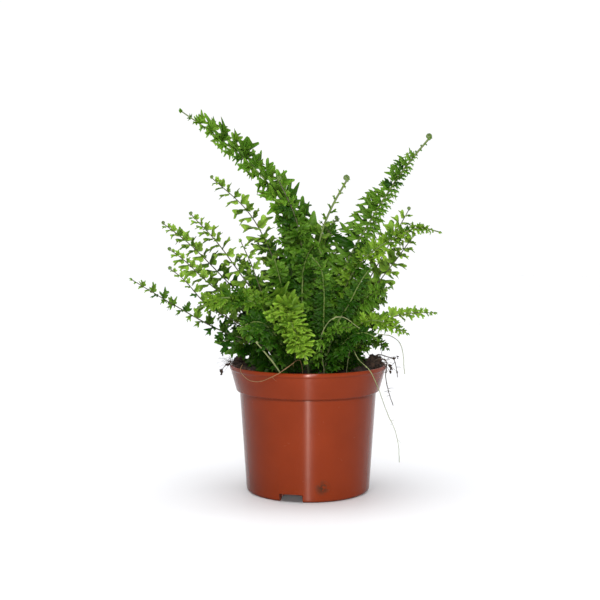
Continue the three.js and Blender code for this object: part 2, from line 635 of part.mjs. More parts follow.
function naturalLeaflet(frond, along, seed) {
  const swell = Math.sin(Math.PI * Math.min(1, 0.24 + 0.76 * along)) ** 0.6 * (1 - 0.25 * along);
  const length = Math.max(SHORTEST_LEAFLET, frond.reach * swell * (1 + vary(seed, 0.12)));
  return {
    sweep: 0.25 + 0.45 * along,
    fold: 0.3 + vary(seed + 31, 0.4),
    twist: vary(seed + 57, 0.55),
    droop: 0.12,
    length,
    halfWidth: Math.min(LEAFLET_PITCH * 0.44, 0.5 * length + 0.6),
  };
}

// Grows a leaflet between two rings in the first pose that has room, and says if it found one.

function growLeaflet(body, room, rings, frame, sideSign, natural, order, leaflet) {
  const rim = sideSign > 0 ? 'right' : 'left';
  const pair = sideSign > 0 ? rings : [rings[1], rings[0]];
  const roots = pair.map((ring) => body.place(ring[rim]).lerp(body.place(ring.keel), 0.5));
  const kind = natural.length > LARGE_LEAFLET_REACH ? LARGE_LEAFLET : SMALL_LEAFLET;
  for (const pose of poses(natural)) {
    const outline = leafletPoints(kind, roots, frame, sideSign, pose);
    const samples = leafletSamples(kind, roots, outline);
    if (samples.every((point) => clearOfPot(point) && isFree(room, point, order, leaflet, roots))) {
      addBlade(body, kind, rings, sideSign, outline);
      room.add(samples, { frond: order, leaflet });
      return true;
    }
  }
  return false;
}

// The tip is rolled up, on a young frond, or ends in one small pointed leaflet.

function addCurledTip(body, end) {
  const centre = end.point.clone().addScaledVector(end.up, CURL_RADIUS);
  let before = body.rings.at(-1);
  for (let i = 1; i <= CURL_STEPS; i += 1) {
    const turn = i * CURL_STEP_TURN;
    const shrink = CURL_RADIUS * (1 - 0.09 * i);
    const radial = end.up.clone().multiplyScalar(-Math.cos(turn)).addScaledVector(end.forward, Math.sin(turn));
    const frame = {
      point: centre.clone().addScaledVector(radial, shrink),
      up: radial.clone().negate(),
      side: end.side,
    };
    const ring = body.ring(frame, RIB_HALF_WIDTH * 0.6, RIB_HALF_HEIGHT * 0.55);
    body.link(before, ring);
    before = ring;
  }
  const turn = CURL_STEPS * CURL_STEP_TURN;
  const onward = end.forward.clone().multiplyScalar(Math.cos(turn)).addScaledVector(end.up, Math.sin(turn));
  const top = body.place(before.left).lerp(body.place(before.right), 0.5);
  body.point(before, top.lerp(body.place(before.keel), 0.5).addScaledVector(onward, 0.8));
}

function addTipLeaflet(body, end, reach) {
  const widest = { ...end, point: end.point.clone().addScaledVector(end.forward, 1.5) };
  const before = body.rings.at(-1);
  const ring = body.ring(widest, Math.min(1.8, reach * 0.25), BLADE_THICKNESS / 2);
  body.link(before, ring);
  body.point(ring, end.point.clone().addScaledVector(end.forward, Math.min(6, reach * 0.5)));
}

// A frond is one body: a bare stalk, then a rib with a leaflet between each two rings, to the
// right and to the left in turn, then its tip.

function makeFrond(frond, points, order, room) {
  const body = new RibBody();
  const curve = new THREE.CatmullRomCurve3(points);
  const length = curve.getLength();
  const bareSteps = Math.max(4, Math.round((length * frond.bare) / BARE_STEP));
  const leaflets = Math.max(4, Math.round((2 * length * (1 - frond.bare)) / LEAFLET_PITCH));
  const leafyShare = (1 - frond.bare) * 0.98;
  const shares = [];
  for (let i = 0; i < bareSteps; i += 1) shares.push((frond.bare * i) / bareSteps);
  for (let i = 0; i <= leaflets; i += 1) shares.push(frond.bare + (leafyShare * i) / leaflets);
  const stations = shares.map((share) => curve.getPointAt(share));
  const face = new THREE.Vector3(...frond.face);
  const frames = framesAlong(stations, face, bareSteps + Math.round(leaflets / 2));
  const rings = frames.map((frame, i) => {
    const thin = 1 - RIB_TAPER * shares[i];
    return body.ring(frame, RIB_HALF_WIDTH * thin, RIB_HALF_HEIGHT * thin);
  });
  body.startCap(rings[0]);
  for (let i = 0; i + 1 < rings.length; i += 1) {
    const leaflet = i - bareSteps;
    const sideSign = leaflet % 2 === 0 ? 1 : -1;
    const pair = [rings[i], rings[i + 1]];
    const natural = naturalLeaflet(frond, leaflet / leaflets, order * 97 + leaflet);
    const grown = leaflet >= 0
      && growLeaflet(body, room, pair, frames[i], sideSign, natural, order, leaflet);
    body.link(...pair, grown ? sideSign : 0);
  }
  if (frond.tip === 'curl') addCurledTip(body, frames.at(-1));
  else addTipLeaflet(body, frames.at(-1), frond.reach);
  return meshOf(frondName(order), body.geometry(), MATERIALS[frond.tone]);
}

function makeRunner(runner, points) {
  const body = new RibBody();
  const length = new THREE.CatmullRomCurve3(points).getLength();
  const stations = between(points, length / Math.max(8, Math.round(length / RUNNER_STEP)));
  const frames = framesAlong(stations, new THREE.Vector3(0.3, -1, 0.2), Math.floor(stations.length / 2));
  const rings = frames.map((frame, i) => {
    const share = i / frames.length;
    return body.ring(frame, runner.radius * (1.15 - 0.35 * share), runner.radius * (1 - 0.3 * share));
  });
  body.startCap(rings[0]);
  for (let i = 0; i + 1 < rings.length; i += 1) body.link(rings[i], rings[i + 1]);
  const end = frames.at(-1);
  body.point(rings.at(-1), end.point.clone().addScaledVector(end.forward, 2 * runner.radius));
  return meshOf(runner.name, body.geometry(), MATERIALS[runner.tone]);
}

// The whole plant: the ways are laid first, runners before fronds, and then the leaflets grow.

function frondName(order) {
  return `frond_${String(order + 1).padStart(2, '0')}`;
}

const group = new THREE.Group();
const feet = [...FRONDS, ...RUNNERS].map(({ foot }) => foot);
group.add(makePot(), makeSoil(feet));

const room = new Room(RIB_SPACING + 0.1);
const ways = [...RUNNERS, ...FRONDS].map((piece, i) => {
  const points = bendClear(layWay(piece, 40), room);
  room.add(between(points, 1), { rib: i - RUNNERS.length });
  return points;
});
RUNNERS.forEach((runner, i) => group.add(makeRunner(runner, ways[i])));
FRONDS.forEach((frond, order) => group.add(makeFrond(frond, ways[RUNNERS.length + order], order, room)));

export default group;
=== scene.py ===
"""Builds a small potted Boston fern with finely cut, ruffled leaflets, and the light it stands in.

Lengths are in metres and +Z is up. The pot's axis is the Z axis and it stands on z = 0.
"""

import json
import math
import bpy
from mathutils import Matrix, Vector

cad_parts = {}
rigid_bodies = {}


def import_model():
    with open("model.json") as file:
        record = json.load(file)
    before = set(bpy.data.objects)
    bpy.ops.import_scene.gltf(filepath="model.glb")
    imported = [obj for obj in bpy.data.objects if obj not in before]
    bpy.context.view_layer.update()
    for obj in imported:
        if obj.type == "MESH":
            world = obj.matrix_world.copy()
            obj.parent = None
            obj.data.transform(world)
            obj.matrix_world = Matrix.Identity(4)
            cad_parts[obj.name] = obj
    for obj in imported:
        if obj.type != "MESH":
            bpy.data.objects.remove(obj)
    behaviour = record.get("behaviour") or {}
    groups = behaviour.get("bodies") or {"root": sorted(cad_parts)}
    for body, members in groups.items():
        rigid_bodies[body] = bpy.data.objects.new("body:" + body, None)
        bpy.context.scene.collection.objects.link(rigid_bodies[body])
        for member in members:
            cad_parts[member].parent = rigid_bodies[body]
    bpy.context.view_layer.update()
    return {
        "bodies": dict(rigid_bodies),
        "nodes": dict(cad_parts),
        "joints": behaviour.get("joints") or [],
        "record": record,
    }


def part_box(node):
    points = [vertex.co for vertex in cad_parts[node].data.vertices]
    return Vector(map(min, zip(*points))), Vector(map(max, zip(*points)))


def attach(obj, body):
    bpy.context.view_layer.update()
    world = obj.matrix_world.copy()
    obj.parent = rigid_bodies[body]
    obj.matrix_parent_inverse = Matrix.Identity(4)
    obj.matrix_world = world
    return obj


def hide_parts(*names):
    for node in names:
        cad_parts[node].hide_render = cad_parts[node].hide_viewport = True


bl_info = {
    "name": "Potted Fern",
    "version": (1, 0, 0),
    "blender": (4, 5, 0),
    "location": "3D View > Sidebar > Fern",
    "description": "Makes a potted fern, frond by frond, with its soil, runners and pot",
    "category": "Add Mesh",
}

from collections import namedtuple

import bmesh
import bpy
import numpy as np
from bpy.props import FloatProperty, FloatVectorProperty, IntProperty, PointerProperty
from mathutils import Matrix, Vector, noise

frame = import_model()
_, POT_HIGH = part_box("pot")

# Each frond: where its stalk stands in the soil, the way its upper face looks, the share of its
# rib that is bare, its longest leaflet, its tone, its cut, its stalk's colour, how its tip ends,
# how full its leaflets are, how much longer they are on its right-hand side at the foot and at the
# tip, how light and young it is, and the points that its rib passes through.
# From the left of the plant to its right, then those that lean back or fill the middle.

Frond = namedtuple("Frond", "foot face bare reach tone cut stalk tip full uneven young way")

FRONDS = [
    Frond((-0.011, -0.007), (0, -0.7, 0.7), 0.3, 0.007, "bright", "tuft", "dark", "leaf", 1.35,
          (0.1, 0.25), 0.5,
          [(-0.02, -0.007, 0.076), (-0.048, -0.005, 0.087), (-0.07, -0.004, 0.099),
           (-0.095, -0.004, 0.114)]),
    Frond((-0.014, -0.004), (0, -0.8, 0.6), 0.2, 0.009, "mid", "fan", "dark", "leaf", 1.75,
          (-0.05, -0.15), 0.3,
          [(-0.022, -0.004, 0.076), (-0.036, -0.005, 0.081), (-0.0495, -0.006, 0.0805)]),
    Frond((-0.0105, -0.0025), (0, -1, 0.3), 0.35, 0.005, "bright", "bead", "dark", "bud", 1.3,
          (0.035, 0.1), 0.65,
          [(-0.03, -0.008, 0.086), (-0.053, -0.01, 0.1), (-0.066, -0.009, 0.114),
           (-0.074, -0.007, 0.12)]),
    Frond((-0.0135, 0.0005), (0, -1, 0.4), 0.3, 0.006, "bright", "sprig", "dark", "bud", 1.65,
          (-0.052, -0.15), 0.78,
          [(-0.03, 0.002, 0.092), (-0.053, 0.001, 0.111), (-0.068, 0, 0.125), (-0.075, 0, 0.13)]),
    Frond((-0.012, 0.0045), (0, -1, 0.3), 0.35, 0.007, "bright", "sprig", "dark", "bud", 1.45,
          (0, 0), 0.8,
          [(-0.02, 0.006, 0.088), (-0.045, 0.008, 0.113), (-0.064, 0.008, 0.132),
           (-0.079, 0.006, 0.144)]),
    Frond((-0.009, 0.0015), (0, -1, 0.3), 0.4, 0.007, "bright", "sprig", "dark", "bud", 1.45,
          (0, 0), 0.8,
          [(-0.014, 0, 0.086), (-0.035, -0.003, 0.115), (-0.049, -0.004, 0.134),
           (-0.063, -0.004, 0.149)]),
    Frond((-0.0055, 0.005), (0, -1, 0.3), 0.35, 0.008, "mid", "sprig", "dark", "bud", 1.5,
          (-0.042, -0.12), 0.85,
          [(-0.007, 0.008, 0.088), (-0.018, 0.012, 0.122), (-0.032, 0.013, 0.149),
           (-0.053, 0.011, 0.169)]),
    Frond((-0.0065, -0.0055), (0, -1, 0.3), 0.3, 0.008, "mid", "tuft", "dark", "leaf", 1.3,
          (0, 0), 0.62,
          [(-0.01, -0.008, 0.085), (-0.023, -0.011, 0.104), (-0.03, -0.011, 0.122),
           (-0.036, -0.01, 0.135)]),
    Frond((-0.006, -0.01), (0, -0.7, 0.7), 0.25, 0.011, "bright", "parsley", "pale", "leaf", 1.2,
          (0, 0), 0.3,
          [(-0.012, -0.014, 0.088), (-0.028, -0.021, 0.102), (-0.044, -0.025, 0.105),
           (-0.058, -0.027, 0.099)]),
    Frond((-0.0015, 0.003), (0, -1, 0.2), 0.2, 0.012, "mid", "crested", "pale", "leaf", 1.42,
          (-0.1, 0.4), 0.72,
          [(0.001, 0.006, 0.1), (-0.004, 0.008, 0.138), (-0.024, 0.009, 0.168),
           (-0.05, 0.008, 0.191), (-0.07, 0.005, 0.205)]),
    Frond((-0.0025, -0.0035), (0.2, -1, 0.2), 0.22, 0.012, "mid", "spray", "dark", "curl", 1.5,
          (-0.35, -0.35), 0.46,
          [(-0.003, -0.006, 0.095), (-0.004, -0.007, 0.136), (-0.008, -0.006, 0.15),
           (-0.016, -0.005, 0.167)]),
    Frond((0, -0.012), (0, -0.9, 0.45), 0.575, 0.013, "bright", "crisp", "pale", "leaf", 0.9,
          (0.25, 0), 0.97,
          [(-0.005, -0.016, 0.088), (-0.012, -0.027, 0.104), (-0.01, -0.037, 0.096),
           (-0.0035, -0.043, 0.082), (-0.0012, -0.044, 0.0735)]),
    Frond((-0.001, -0.008), (0, -0.4, 0.9), 0.22, 0.011, "mid", "parsley", "pale", "leaf", 0.85,
          (0, 0), 0.25,
          [(-0.003, -0.011, 0.095), (-0.002, -0.018, 0.122), (0.003, -0.028, 0.132),
           (0.007, -0.038, 0.127)]),
    Frond((0.0025, 0), (0.2, -1, 0.2), 0.35, 0.007, "bright", "bead", "pale", "curl", 1.3,
          (0, 0), 0.7,
          [(0.002, 0.001, 0.09), (0.0065, 0.003, 0.135), (0.0122, 0.004, 0.151),
           (0.0213, 0.004, 0.1675)]),
    Frond((0.009, -0.0065), (0, -0.9, 0.5), 0.45, 0.009, "mid", "parsley", "pale", "leaf", 0.75,
          (0, 0), 0.15,
          [(0.008, -0.014, 0.088), (0.008, -0.024, 0.108), (0.006, -0.029, 0.121),
           (0.001, -0.032, 0.127)]),
    Frond((0.005, -0.012), (0, -0.6, 0.8), 0.25, 0.009, "mid", "comb", "dark", "leaf", 1.2,
          (0, 0), 0.7,
          [(0.008, -0.02, 0.08), (0.014, -0.029, 0.089), (0.023, -0.036, 0.091)]),
    Frond((0.005, -0.0045), (0, -0.8, 0.6), 0.25, 0.009, "mid", "plume", "pale", "leaf", 1.6,
          (0, 0), 0.22,
          [(0.012, -0.008, 0.086), (0.024, -0.012, 0.098), (0.034, -0.014, 0.107),
           (0.043, -0.015, 0.11)]),
    Frond((0.006, -0.0005), (0, -1, 0.3), 0.22, 0.009, "mid", "finger", "dark", "leaf", 1.15,
          (0, 0), 0.1,
          [(0.012, 0.006, 0.088), (0.022, 0.013, 0.113), (0.0175, 0.017, 0.131),
           (0.007, 0.018, 0.145)]),
    Frond((0.008, 0.004), (0, -1, 0.2), 0.2, 0.01, "mid", "plume", "pale", "curl", 1.5,
          (-0.32, -0.25), 0.82,
          [(0.011, 0.006, 0.09), (0.02, 0.01, 0.119), (0.036, 0.012, 0.148),
           (0.053, 0.011, 0.174), (0.0668, 0.008, 0.191)]),
    Frond((0.0115, -0.0025), (0, -0.8, 0.6), 0.2, 0.009, "bright", "comb", "pale", "leaf", 1.28,
          (0, 0), 0.5,
          [(0.013, -0.005, 0.09), (0.026, -0.012, 0.121), (0.045, -0.014, 0.136),
           (0.058, -0.012, 0.141), (0.0702, -0.009, 0.1387)]),
    Frond((0.012, 0.002), (0, -1, 0.3), 0.35, 0.008, "bright", "sprig", "dark", "bud", 1.7,
          (0, 0), 0.85,
          [(0.016, 0.003, 0.086), (0.03, 0.005, 0.108), (0.045, 0.005, 0.134),
           (0.055, 0.004, 0.152)]),
    Frond((0.0155, -0.001), (0, -1, 0.3), 0.4, 0.007, "bright", "sprig", "dark", "bud", 1.5,
          (0, 0), 0.75,
          [(0.019, -0.001, 0.084), (0.034, -0.002, 0.107), (0.047, -0.003, 0.124),
           (0.057, -0.003, 0.138)]),
    Frond((0.009, -0.011), (0, -0.9, 0.5), 0.45, 0.009, "mid", "parsley", "pale", "leaf", 0.8,
          (0, 0), 0.15,
          [(0.014, -0.015, 0.088), (0.022, -0.019, 0.103), (0.027, -0.021, 0.113),
           (0.033, -0.023, 0.122)]),
    Frond((0.013, -0.007), (0, -0.7, 0.7), 0.2, 0.009, "bright", "comb", "pale", "leaf", 1.45,
          (0, 0), 0.5,
          [(0.02, -0.014, 0.086), (0.034, -0.02, 0.093), (0.044, -0.022, 0.09),
           (0.052, -0.023, 0.086)]),
    Frond((0.0165, -0.005), (0, -0.8, 0.6), 0.3, 0.006, "mid", "sprig", "dark", "leaf", 1.25,
          (0, 0), 0.64,
          [(0.026, -0.006, 0.084), (0.042, -0.008, 0.093), (0.056, -0.008, 0.096),
           (0.068, -0.008, 0.096)]),
    Frond((0.024, 0.001), (0, -0.8, 0.6), 0.3, 0.005, "mid", "comb", "dark", "leaf", 1.75,
          (0, 0), 0.43,
          [(0.028, 0, 0.077), (0.034, -0.001, 0.082), (0.0425, -0.002, 0.0765)]),
    Frond((-0.005, 0.009), (0, 0.5, 0.9), 0.2, 0.011, "mid", "fan", "pale", "leaf", 1.5,
          (0, 0), 0.4,
          [(-0.009, 0.016, 0.092), (-0.017, 0.027, 0.118), (-0.024, 0.036, 0.13),
           (-0.032, 0.043, 0.132)]),
    Frond((0.003, 0.007), (0, 0.5, 0.9), 0.2, 0.011, "mid", "fan", "pale", "curl", 1.5,
          (0, 0), 0.4,
          [(0.004, 0.014, 0.096), (0.008, 0.024, 0.128), (0.013, 0.032, 0.142),
           (0.017, 0.041, 0.146)]),
    Frond((0, 0.0115), (0, 0.5, 0.9), 0.25, 0.01, "bright", "parsley", "pale", "leaf", 1.5,
          (0, 0), 0.4,
          [(-0.001, 0.02, 0.084), (-0.002, 0.032, 0.098), (-0.004, 0.042, 0.098),
           (-0.006, 0.047, 0.088)]),
    Frond((-0.0095, 0.0075), (0, 0.4, 0.9), 0.25, 0.01, "dark", "fan", "dark", "leaf", 1.5,
          (0, 0), 0.4,
          [(-0.018, 0.014, 0.084), (-0.032, 0.024, 0.096), (-0.043, 0.032, 0.098),
           (-0.052, 0.037, 0.093)]),
    Frond((0.011, 0.0075), (0, 0.4, 0.9), 0.25, 0.01, "mid", "fan", "pale", "leaf", 1.2,
          (0, 0), 0.4,
          [(0.019, 0.013, 0.088), (0.028, 0.022, 0.102), (0.036, 0.03, 0.107),
           (0.044, 0.036, 0.101)]),
    Frond((0.007, 0.011), (0, 0.5, 0.9), 0.25, 0.009, "dark", "comb", "dark", "leaf", 1.2,
          (0, 0), 0.4,
          [(0.014, 0.02, 0.08), (0.024, 0.032, 0.09), (0.031, 0.041, 0.09),
           (0.035, 0.046, 0.082)]),
    Frond((-0.01, -0.014), (0, -0.7, 0.7), 0.2, 0.01, "mid", "parsley", "pale", "leaf", 1.5,
          (-0.105, -0.3), 0,
          [(-0.016, -0.02, 0.084), (-0.026, -0.028, 0.093), (-0.036, -0.034, 0.09)]),
    Frond((0.012, -0.0145), (0, -0.6, 0.8), 0.2, 0.009, "mid", "comb", "pale", "leaf", 1.25,
          (0.087, 0.25), 0,
          [(0.019, -0.021, 0.082), (0.028, -0.029, 0.088), (0.036, -0.034, 0.084)]),
    Frond((-0.017, 0.003), (0, -0.6, 0.8), 0.2, 0.009, "mid", "comb", "dark", "leaf", 1.8,
          (-0.3, -0.3), 0.4,
          [(-0.028, 0.008, 0.086), (-0.042, 0.014, 0.098), (-0.054, 0.018, 0.104)]),
    Frond((0.0165, 0.0045), (0, -0.6, 0.8), 0.2, 0.009, "mid", "plume", "pale", "leaf", 1.9,
          (0, 0), 0.15,
          [(0.024, 0.01, 0.088), (0.034, 0.017, 0.102), (0.044, 0.022, 0.108)]),
    Frond((-0.006, -0.0015), (0, -0.9, 0.4), 0.2, 0.01, "mid", "fan", "pale", "leaf", 1.3,
          (0, 0), 0.2,
          [(-0.009, -0.003, 0.088), (-0.014, -0.007, 0.11), (-0.018, -0.012, 0.126)]),
    Frond((0.0015, -0.0043), (0, -0.9, 0.4), 0.2, 0.01, "mid", "comb", "pale", "leaf", 1.3,
          (0, 0), 0,
          [(0.002, -0.009, 0.088), (0.006, -0.015, 0.106), (0.012, -0.02, 0.118)]),
    Frond((-0.014, 0.0095), (0, 0.5, 0.8), 0.2, 0.009, "mid", "fan", "dark", "bud", 1.2,
          (0, 0), 0.4,
          [(-0.021, 0.017, 0.09), (-0.031, 0.026, 0.112), (-0.04, 0.031, 0.126)]),
    Frond((0.012, 0.012), (0, 0.5, 0.8), 0.2, 0.009, "mid", "fan", "pale", "bud", 1.2,
          (0, 0), 0.4,
          [(0.017, 0.018, 0.092), (0.025, 0.027, 0.118), (0.034, 0.034, 0.136)]),
    Frond((-0.007, 0.02), (0, 0.4, 0.9), 0.2, 0.008, "bright", "parsley", "pale", "leaf", 1.2,
          (0, 0), 0.4,
          [(-0.011, 0.025, 0.074), (-0.018, 0.031, 0.08), (-0.027, 0.035, 0.081)]),
    Frond((0.012, 0.019), (0, 0.4, 0.9), 0.2, 0.008, "mid", "comb", "pale", "leaf", 1.2,
          (0, 0), 0.4,
          [(0.016, 0.024, 0.074), (0.023, 0.03, 0.079), (0.032, 0.033, 0.079)]),
]

# Each runner or root: its node, where it leaves the soil, its radius, its finish, how many fine
# side roots and buds it bears, and the points that it passes through.

Runner = namedtuple("Runner", "node foot radius finish rootlets buds way")

RUNNERS = [
    Runner("runner_arching", (0.008, -0.016), 0.00026, "pale", 0, 2,
           [(0.006, -0.022, 0.084), (0.011, -0.025, 0.094), (0.018, -0.025, 0.095),
            (0.026, -0.0275, 0.0895), (0.035, -0.026, 0.0865), (0.0435, -0.021, 0.0845),
            (0.049, -0.014, 0.079), (0.051, -0.013, 0.064)]),
    Runner("runner_hanging", (0.02, -0.017), 0.00022, "pale", 3, 2,
           [(0.0225, -0.02, 0.079), (0.0265, -0.028, 0.0735), (0.031, -0.032, 0.0695),
            (0.035, -0.0325, 0.0618), (0.041, -0.027, 0.045), (0.044, -0.026, 0.0385),
            (0.0467, -0.024, 0.0284), (0.0475, -0.023, 0.019)]),
    Runner("root_right_front", (0.034, -0.008), 0.0003, "dark", 7, 2,
           [(0.0375, -0.009, 0.0715), (0.0415, -0.0093, 0.0702), (0.0412, -0.0095, 0.0625),
            (0.043, -0.0095, 0.054), (0.0453, -0.0095, 0.0467)]),
    Runner("root_right", (0.0355, 0.001), 0.0003, "dark", 6, 3,
           [(0.0385, 0.001, 0.0725), (0.0425, 0, 0.0715), (0.0462, 0, 0.0702),
            (0.0475, 0, 0.066), (0.0485, 0, 0.0605)]),
    Runner("root_front", (-0.003, -0.027), 0.0002, "tan", 2, 0,
           [(-0.005, -0.034, 0.074), (-0.011, -0.0415, 0.071), (-0.017, -0.041, 0.067),
            (-0.0255, -0.036, 0.0633), (-0.0313, -0.0315, 0.064), (-0.035, -0.028, 0.068),
            (-0.034, -0.024, 0.0705)]),
    Runner("shoot_front_left", (-0.014, -0.026), 0.00048, "shoot", 0, 1,
           [(-0.0165, -0.0265, 0.0695), (-0.0226, -0.029, 0.0775), (-0.0287, -0.031, 0.0852)]),
]

# The soil's heaps: over the rim at the right, a little at the left, and round the crown. Each is
# its place, its height and how far it spreads.

HEAPS = [
    ((0.035, 0.002), 0.005, 0.007),
    ((0.031, -0.009), 0.003, 0.006),
    ((-0.036, -0.002), 0.0045, 0.006),
    ((-0.031, -0.013), 0.0025, 0.006),
    ((0.002, 0), 0.0025, 0.014),
    ((-0.008, 0.034), 0.002, 0.008),
]

# How a leaflet of each cut looks: its lobes on each side, the share of a lobe that the gaps between
# lobes take, the share of its length that the middle vein takes, the lean of its first lobe off
# the vein, the reach of that lobe over the length, how far its lobes bow forward, ruffle, droop,
# how far its face turns up to the light, how far the first ones sweep forward, the pitch along one
# side of the rib over the length, and how many smaller leaflets stand up off the rib at each place,
# on average.

Cut = namedtuple("Cut", "lobes gap vein lean reach bow ruffle droop level sweep pitch crest")

CUTS = {
    "fan": Cut(4, 0.24, 0.4, 1.4, 0.44, 0.1, 0.5, 0.6, 0.25, 0.2, 0.56, 0.35),
    "crested": Cut(4, 0.24, 0.36, 1.25, 0.5, 0.05, 0.9, 0.7, 0.15, 0.4, 0.66, 1.1),
    "spray": Cut(5, 0.24, 0.42, 1.45, 0.4, 0.1, 0.7, 0.7, 0.25, 0.3, 0.5, 0.7),
    "crisp": Cut(5, 0.13, 0.38, 1.5, 0.42, 0.1, 1.2, 0.9, 0.1, -0.25, 0.46, 1.5),
    "parsley": Cut(5, 0.36, 0.52, 1.35, 0.38, 0.1, 0.45, 0.7, 0.1, 0.2, 0.44, 0.45),
    "comb": Cut(5, 0.36, 0.6, 1.3, 0.36, 0.2, 0.5, 0.8, 0.5, 0.2, 0.42, 0.6),
    "plume": Cut(4, 0.46, 0.5, 1.2, 0.42, 0.45, 0.5, 1.0, 0.4, 0.2, 0.36, 0.9),
    "finger": Cut(4, 0.68, 0.5, 1.1, 0.46, 0.6, 0.35, 1.1, 0.65, 0.2, 0.5, 0.4),
    "tuft": Cut(3, 0.4, 0.45, 1.2, 0.36, 0.2, 0.5, 0.6, 0.5, 0.2, 0.85, 0.5),
    "sprig": Cut(2, 0.24, 0.4, 1.35, 0.46, 0.0, 0.4, 0.5, 0.65, 0.2, 0.66, 0.3),
    "bead": Cut(2, 0.24, 0.4, 1.2, 0.46, 0.0, 0.3, 0.3, 0.5, 0.2, 1.15, 0.0),
}

# By how the tip ends: the size of a rolled-up tip, and the share of the leafy stretch after which a
# frond only has small folded leaflets. By cut: how much shorter the leaflets are at the tip, where
# that isn't a quarter.

CURLS = {"curl": 0.0016, "bud": 0.0009}
YOUNG_TIPS = {"curl": 0.91, "leaf": 0.94}
TAPERS = {"crested": 0.46, "comb": 0.4}

# The cuts of thin fronds, whose leaflets are small and set apart, and the length from which a
# leaflet with five lobes is divided again.

SPARSE = ("sprig", "bead", "tuft")
PINNA_LENGTH = 0.01

# Ribs: how near two may come, how deep a stalk stands in the soil, the distance between the points
# of a rib, and the share of its way at which it stops.

RIB_SPACING = 0.0023
STALK_DEPTH = 0.006
RIB_STEP = 0.0013
RIB_END = 0.985

# Leaflets: the shortest, the smallest distance between two on one side of a rib, and the length and
# distance of the folded ones near a young tip.

LEAST_LENGTH = 0.0011
LEAST_PITCH = 0.0016
FOLDED_LENGTH = 0.0022
FOLDED_PITCH = 0.0038

# The pot: the radius of its body under the band, of the band's foot and of the flat pad in the
# middle of its underside, how far its floor stands off the table round the pad, the notches' depth,
# width and height, the drain holes' radius, where the first notch lies, and a smear on the foot.

BODY_TOP_RADIUS = 0.0368
BAND_FOOT_RADIUS = 0.0385
PAD_RADIUS = 0.011
FLOOR_LIFT = 0.003
NOTCH_DEPTH, NOTCH_WIDTH, NOTCH_HEIGHT = 0.0094, 0.0126, 0.0042
DRAIN_HOLE_RADIUS = 0.003
FIRST_NOTCH = math.radians(-106)
SMEAR_PLACE = (0.0072, -0.0327, 0.0078)

# The upper face that thin threads start with, and where the lamps stand.

THREAD_FACE = (0.3, 0.2, 1.0)
KEY_PLACE = (0.05, -0.56, 0.42)
STRIP_PLACE = (-0.005, -0.6, 0.1)
OVERHEAD_PLACE = (-0.1, -0.1, 1.6)
PLANT_MIDDLE = (0, 0, 0.1)

SEED = 7


# Settings that a user would change

class PotSettings(bpy.types.PropertyGroup):
    height: FloatProperty(
        name="Height", description="From the foot to the lip", default=POT_HIGH.z,
        subtype="DISTANCE", unit="LENGTH")
    rim_radius: FloatProperty(
        name="Rim radius", description="Half the width over the lip", default=POT_HIGH.x,
        subtype="DISTANCE", unit="LENGTH")
    base_radius: FloatProperty(
        name="Base radius", description="Half the width at the foot", default=0.0332,
        subtype="DISTANCE", unit="LENGTH")
    band_height: FloatProperty(
        name="Band height", description="Height of the wider band under the lip", default=0.014,
        subtype="DISTANCE", unit="LENGTH")
    wall: FloatProperty(
        name="Wall", description="Thickness of the plastic", default=0.0012,
        subtype="DISTANCE", unit="LENGTH")
    sides: IntProperty(
        name="Sides", description="Steps round the pot", default=160, min=24)
    colour: FloatVectorProperty(
        name="Plastic", description="Colour of the moulded plastic", subtype="COLOR", size=3,
        default=(0.1235, 0.017, 0.0039), min=0, max=1)


class SoilSettings(bpy.types.PropertyGroup):
    level: FloatProperty(
        name="Level", description="Height of the soil before its heaps", default=0.0635,
        subtype="DISTANCE", unit="LENGTH")
    edge_radius: FloatProperty(
        name="Edge radius", description="Where the soil meets the pot", default=0.0389,
        subtype="DISTANCE", unit="LENGTH")
    crumbs: IntProperty(
        name="Crumbs", description="Loose crumbs of peat on top", default=1500, min=0)
    colour: FloatVectorProperty(
        name="Peat", description="Colour of the damp peat", subtype="COLOR", size=3,
        default=(0.008, 0.005, 0.0034), min=0, max=1)


class FrondSettings(bpy.types.PropertyGroup):
    blade: FloatProperty(
        name="Blade", description="Thickness of a leaflet at its middle", default=0.00028,
        subtype="DISTANCE", unit="LENGTH")
    stalk_radius: FloatProperty(
        name="Stalk radius", description="Half the thickness of a stalk at its foot",
        default=0.00062, subtype="DISTANCE", unit="LENGTH")
    bright: FloatVectorProperty(
        name="Bright leaf", description="Colour of a young frond", subtype="COLOR", size=3,
        default=(0.052, 0.115, 0.007), min=0, max=1)
    thin: FloatVectorProperty(
        name="Thin leaf", description="Colour of the small leaflets of a thin frond",
        subtype="COLOR", size=3, default=(0.062, 0.128, 0.013), min=0, max=1)
    mid: FloatVectorProperty(
        name="Leaf", description="Colour of a grown frond", subtype="COLOR", size=3,
        default=(0.03, 0.08, 0.005), min=0, max=1)
    dark: FloatVectorProperty(
        name="Dark leaf", description="Colour of an old frond", subtype="COLOR", size=3,
        default=(0.02, 0.06, 0.004), min=0, max=1)


class RunnerSettings(bpy.types.PropertyGroup):
    pale: FloatVectorProperty(
        name="Pale runner", description="Colour of a young runner or stalk", subtype="COLOR",
        size=3, default=(0.13, 0.15, 0.058), min=0, max=1)
    tan: FloatVectorProperty(
        name="Tan root", description="Colour of a dry root", subtype="COLOR", size=3,
        default=(0.16, 0.095, 0.04), min=0, max=1)
    dark: FloatVectorProperty(
        name="Dark root", description="Colour of an old root or stalk", subtype="COLOR", size=3,
        default=(0.02, 0.012, 0.006), min=0, max=1)


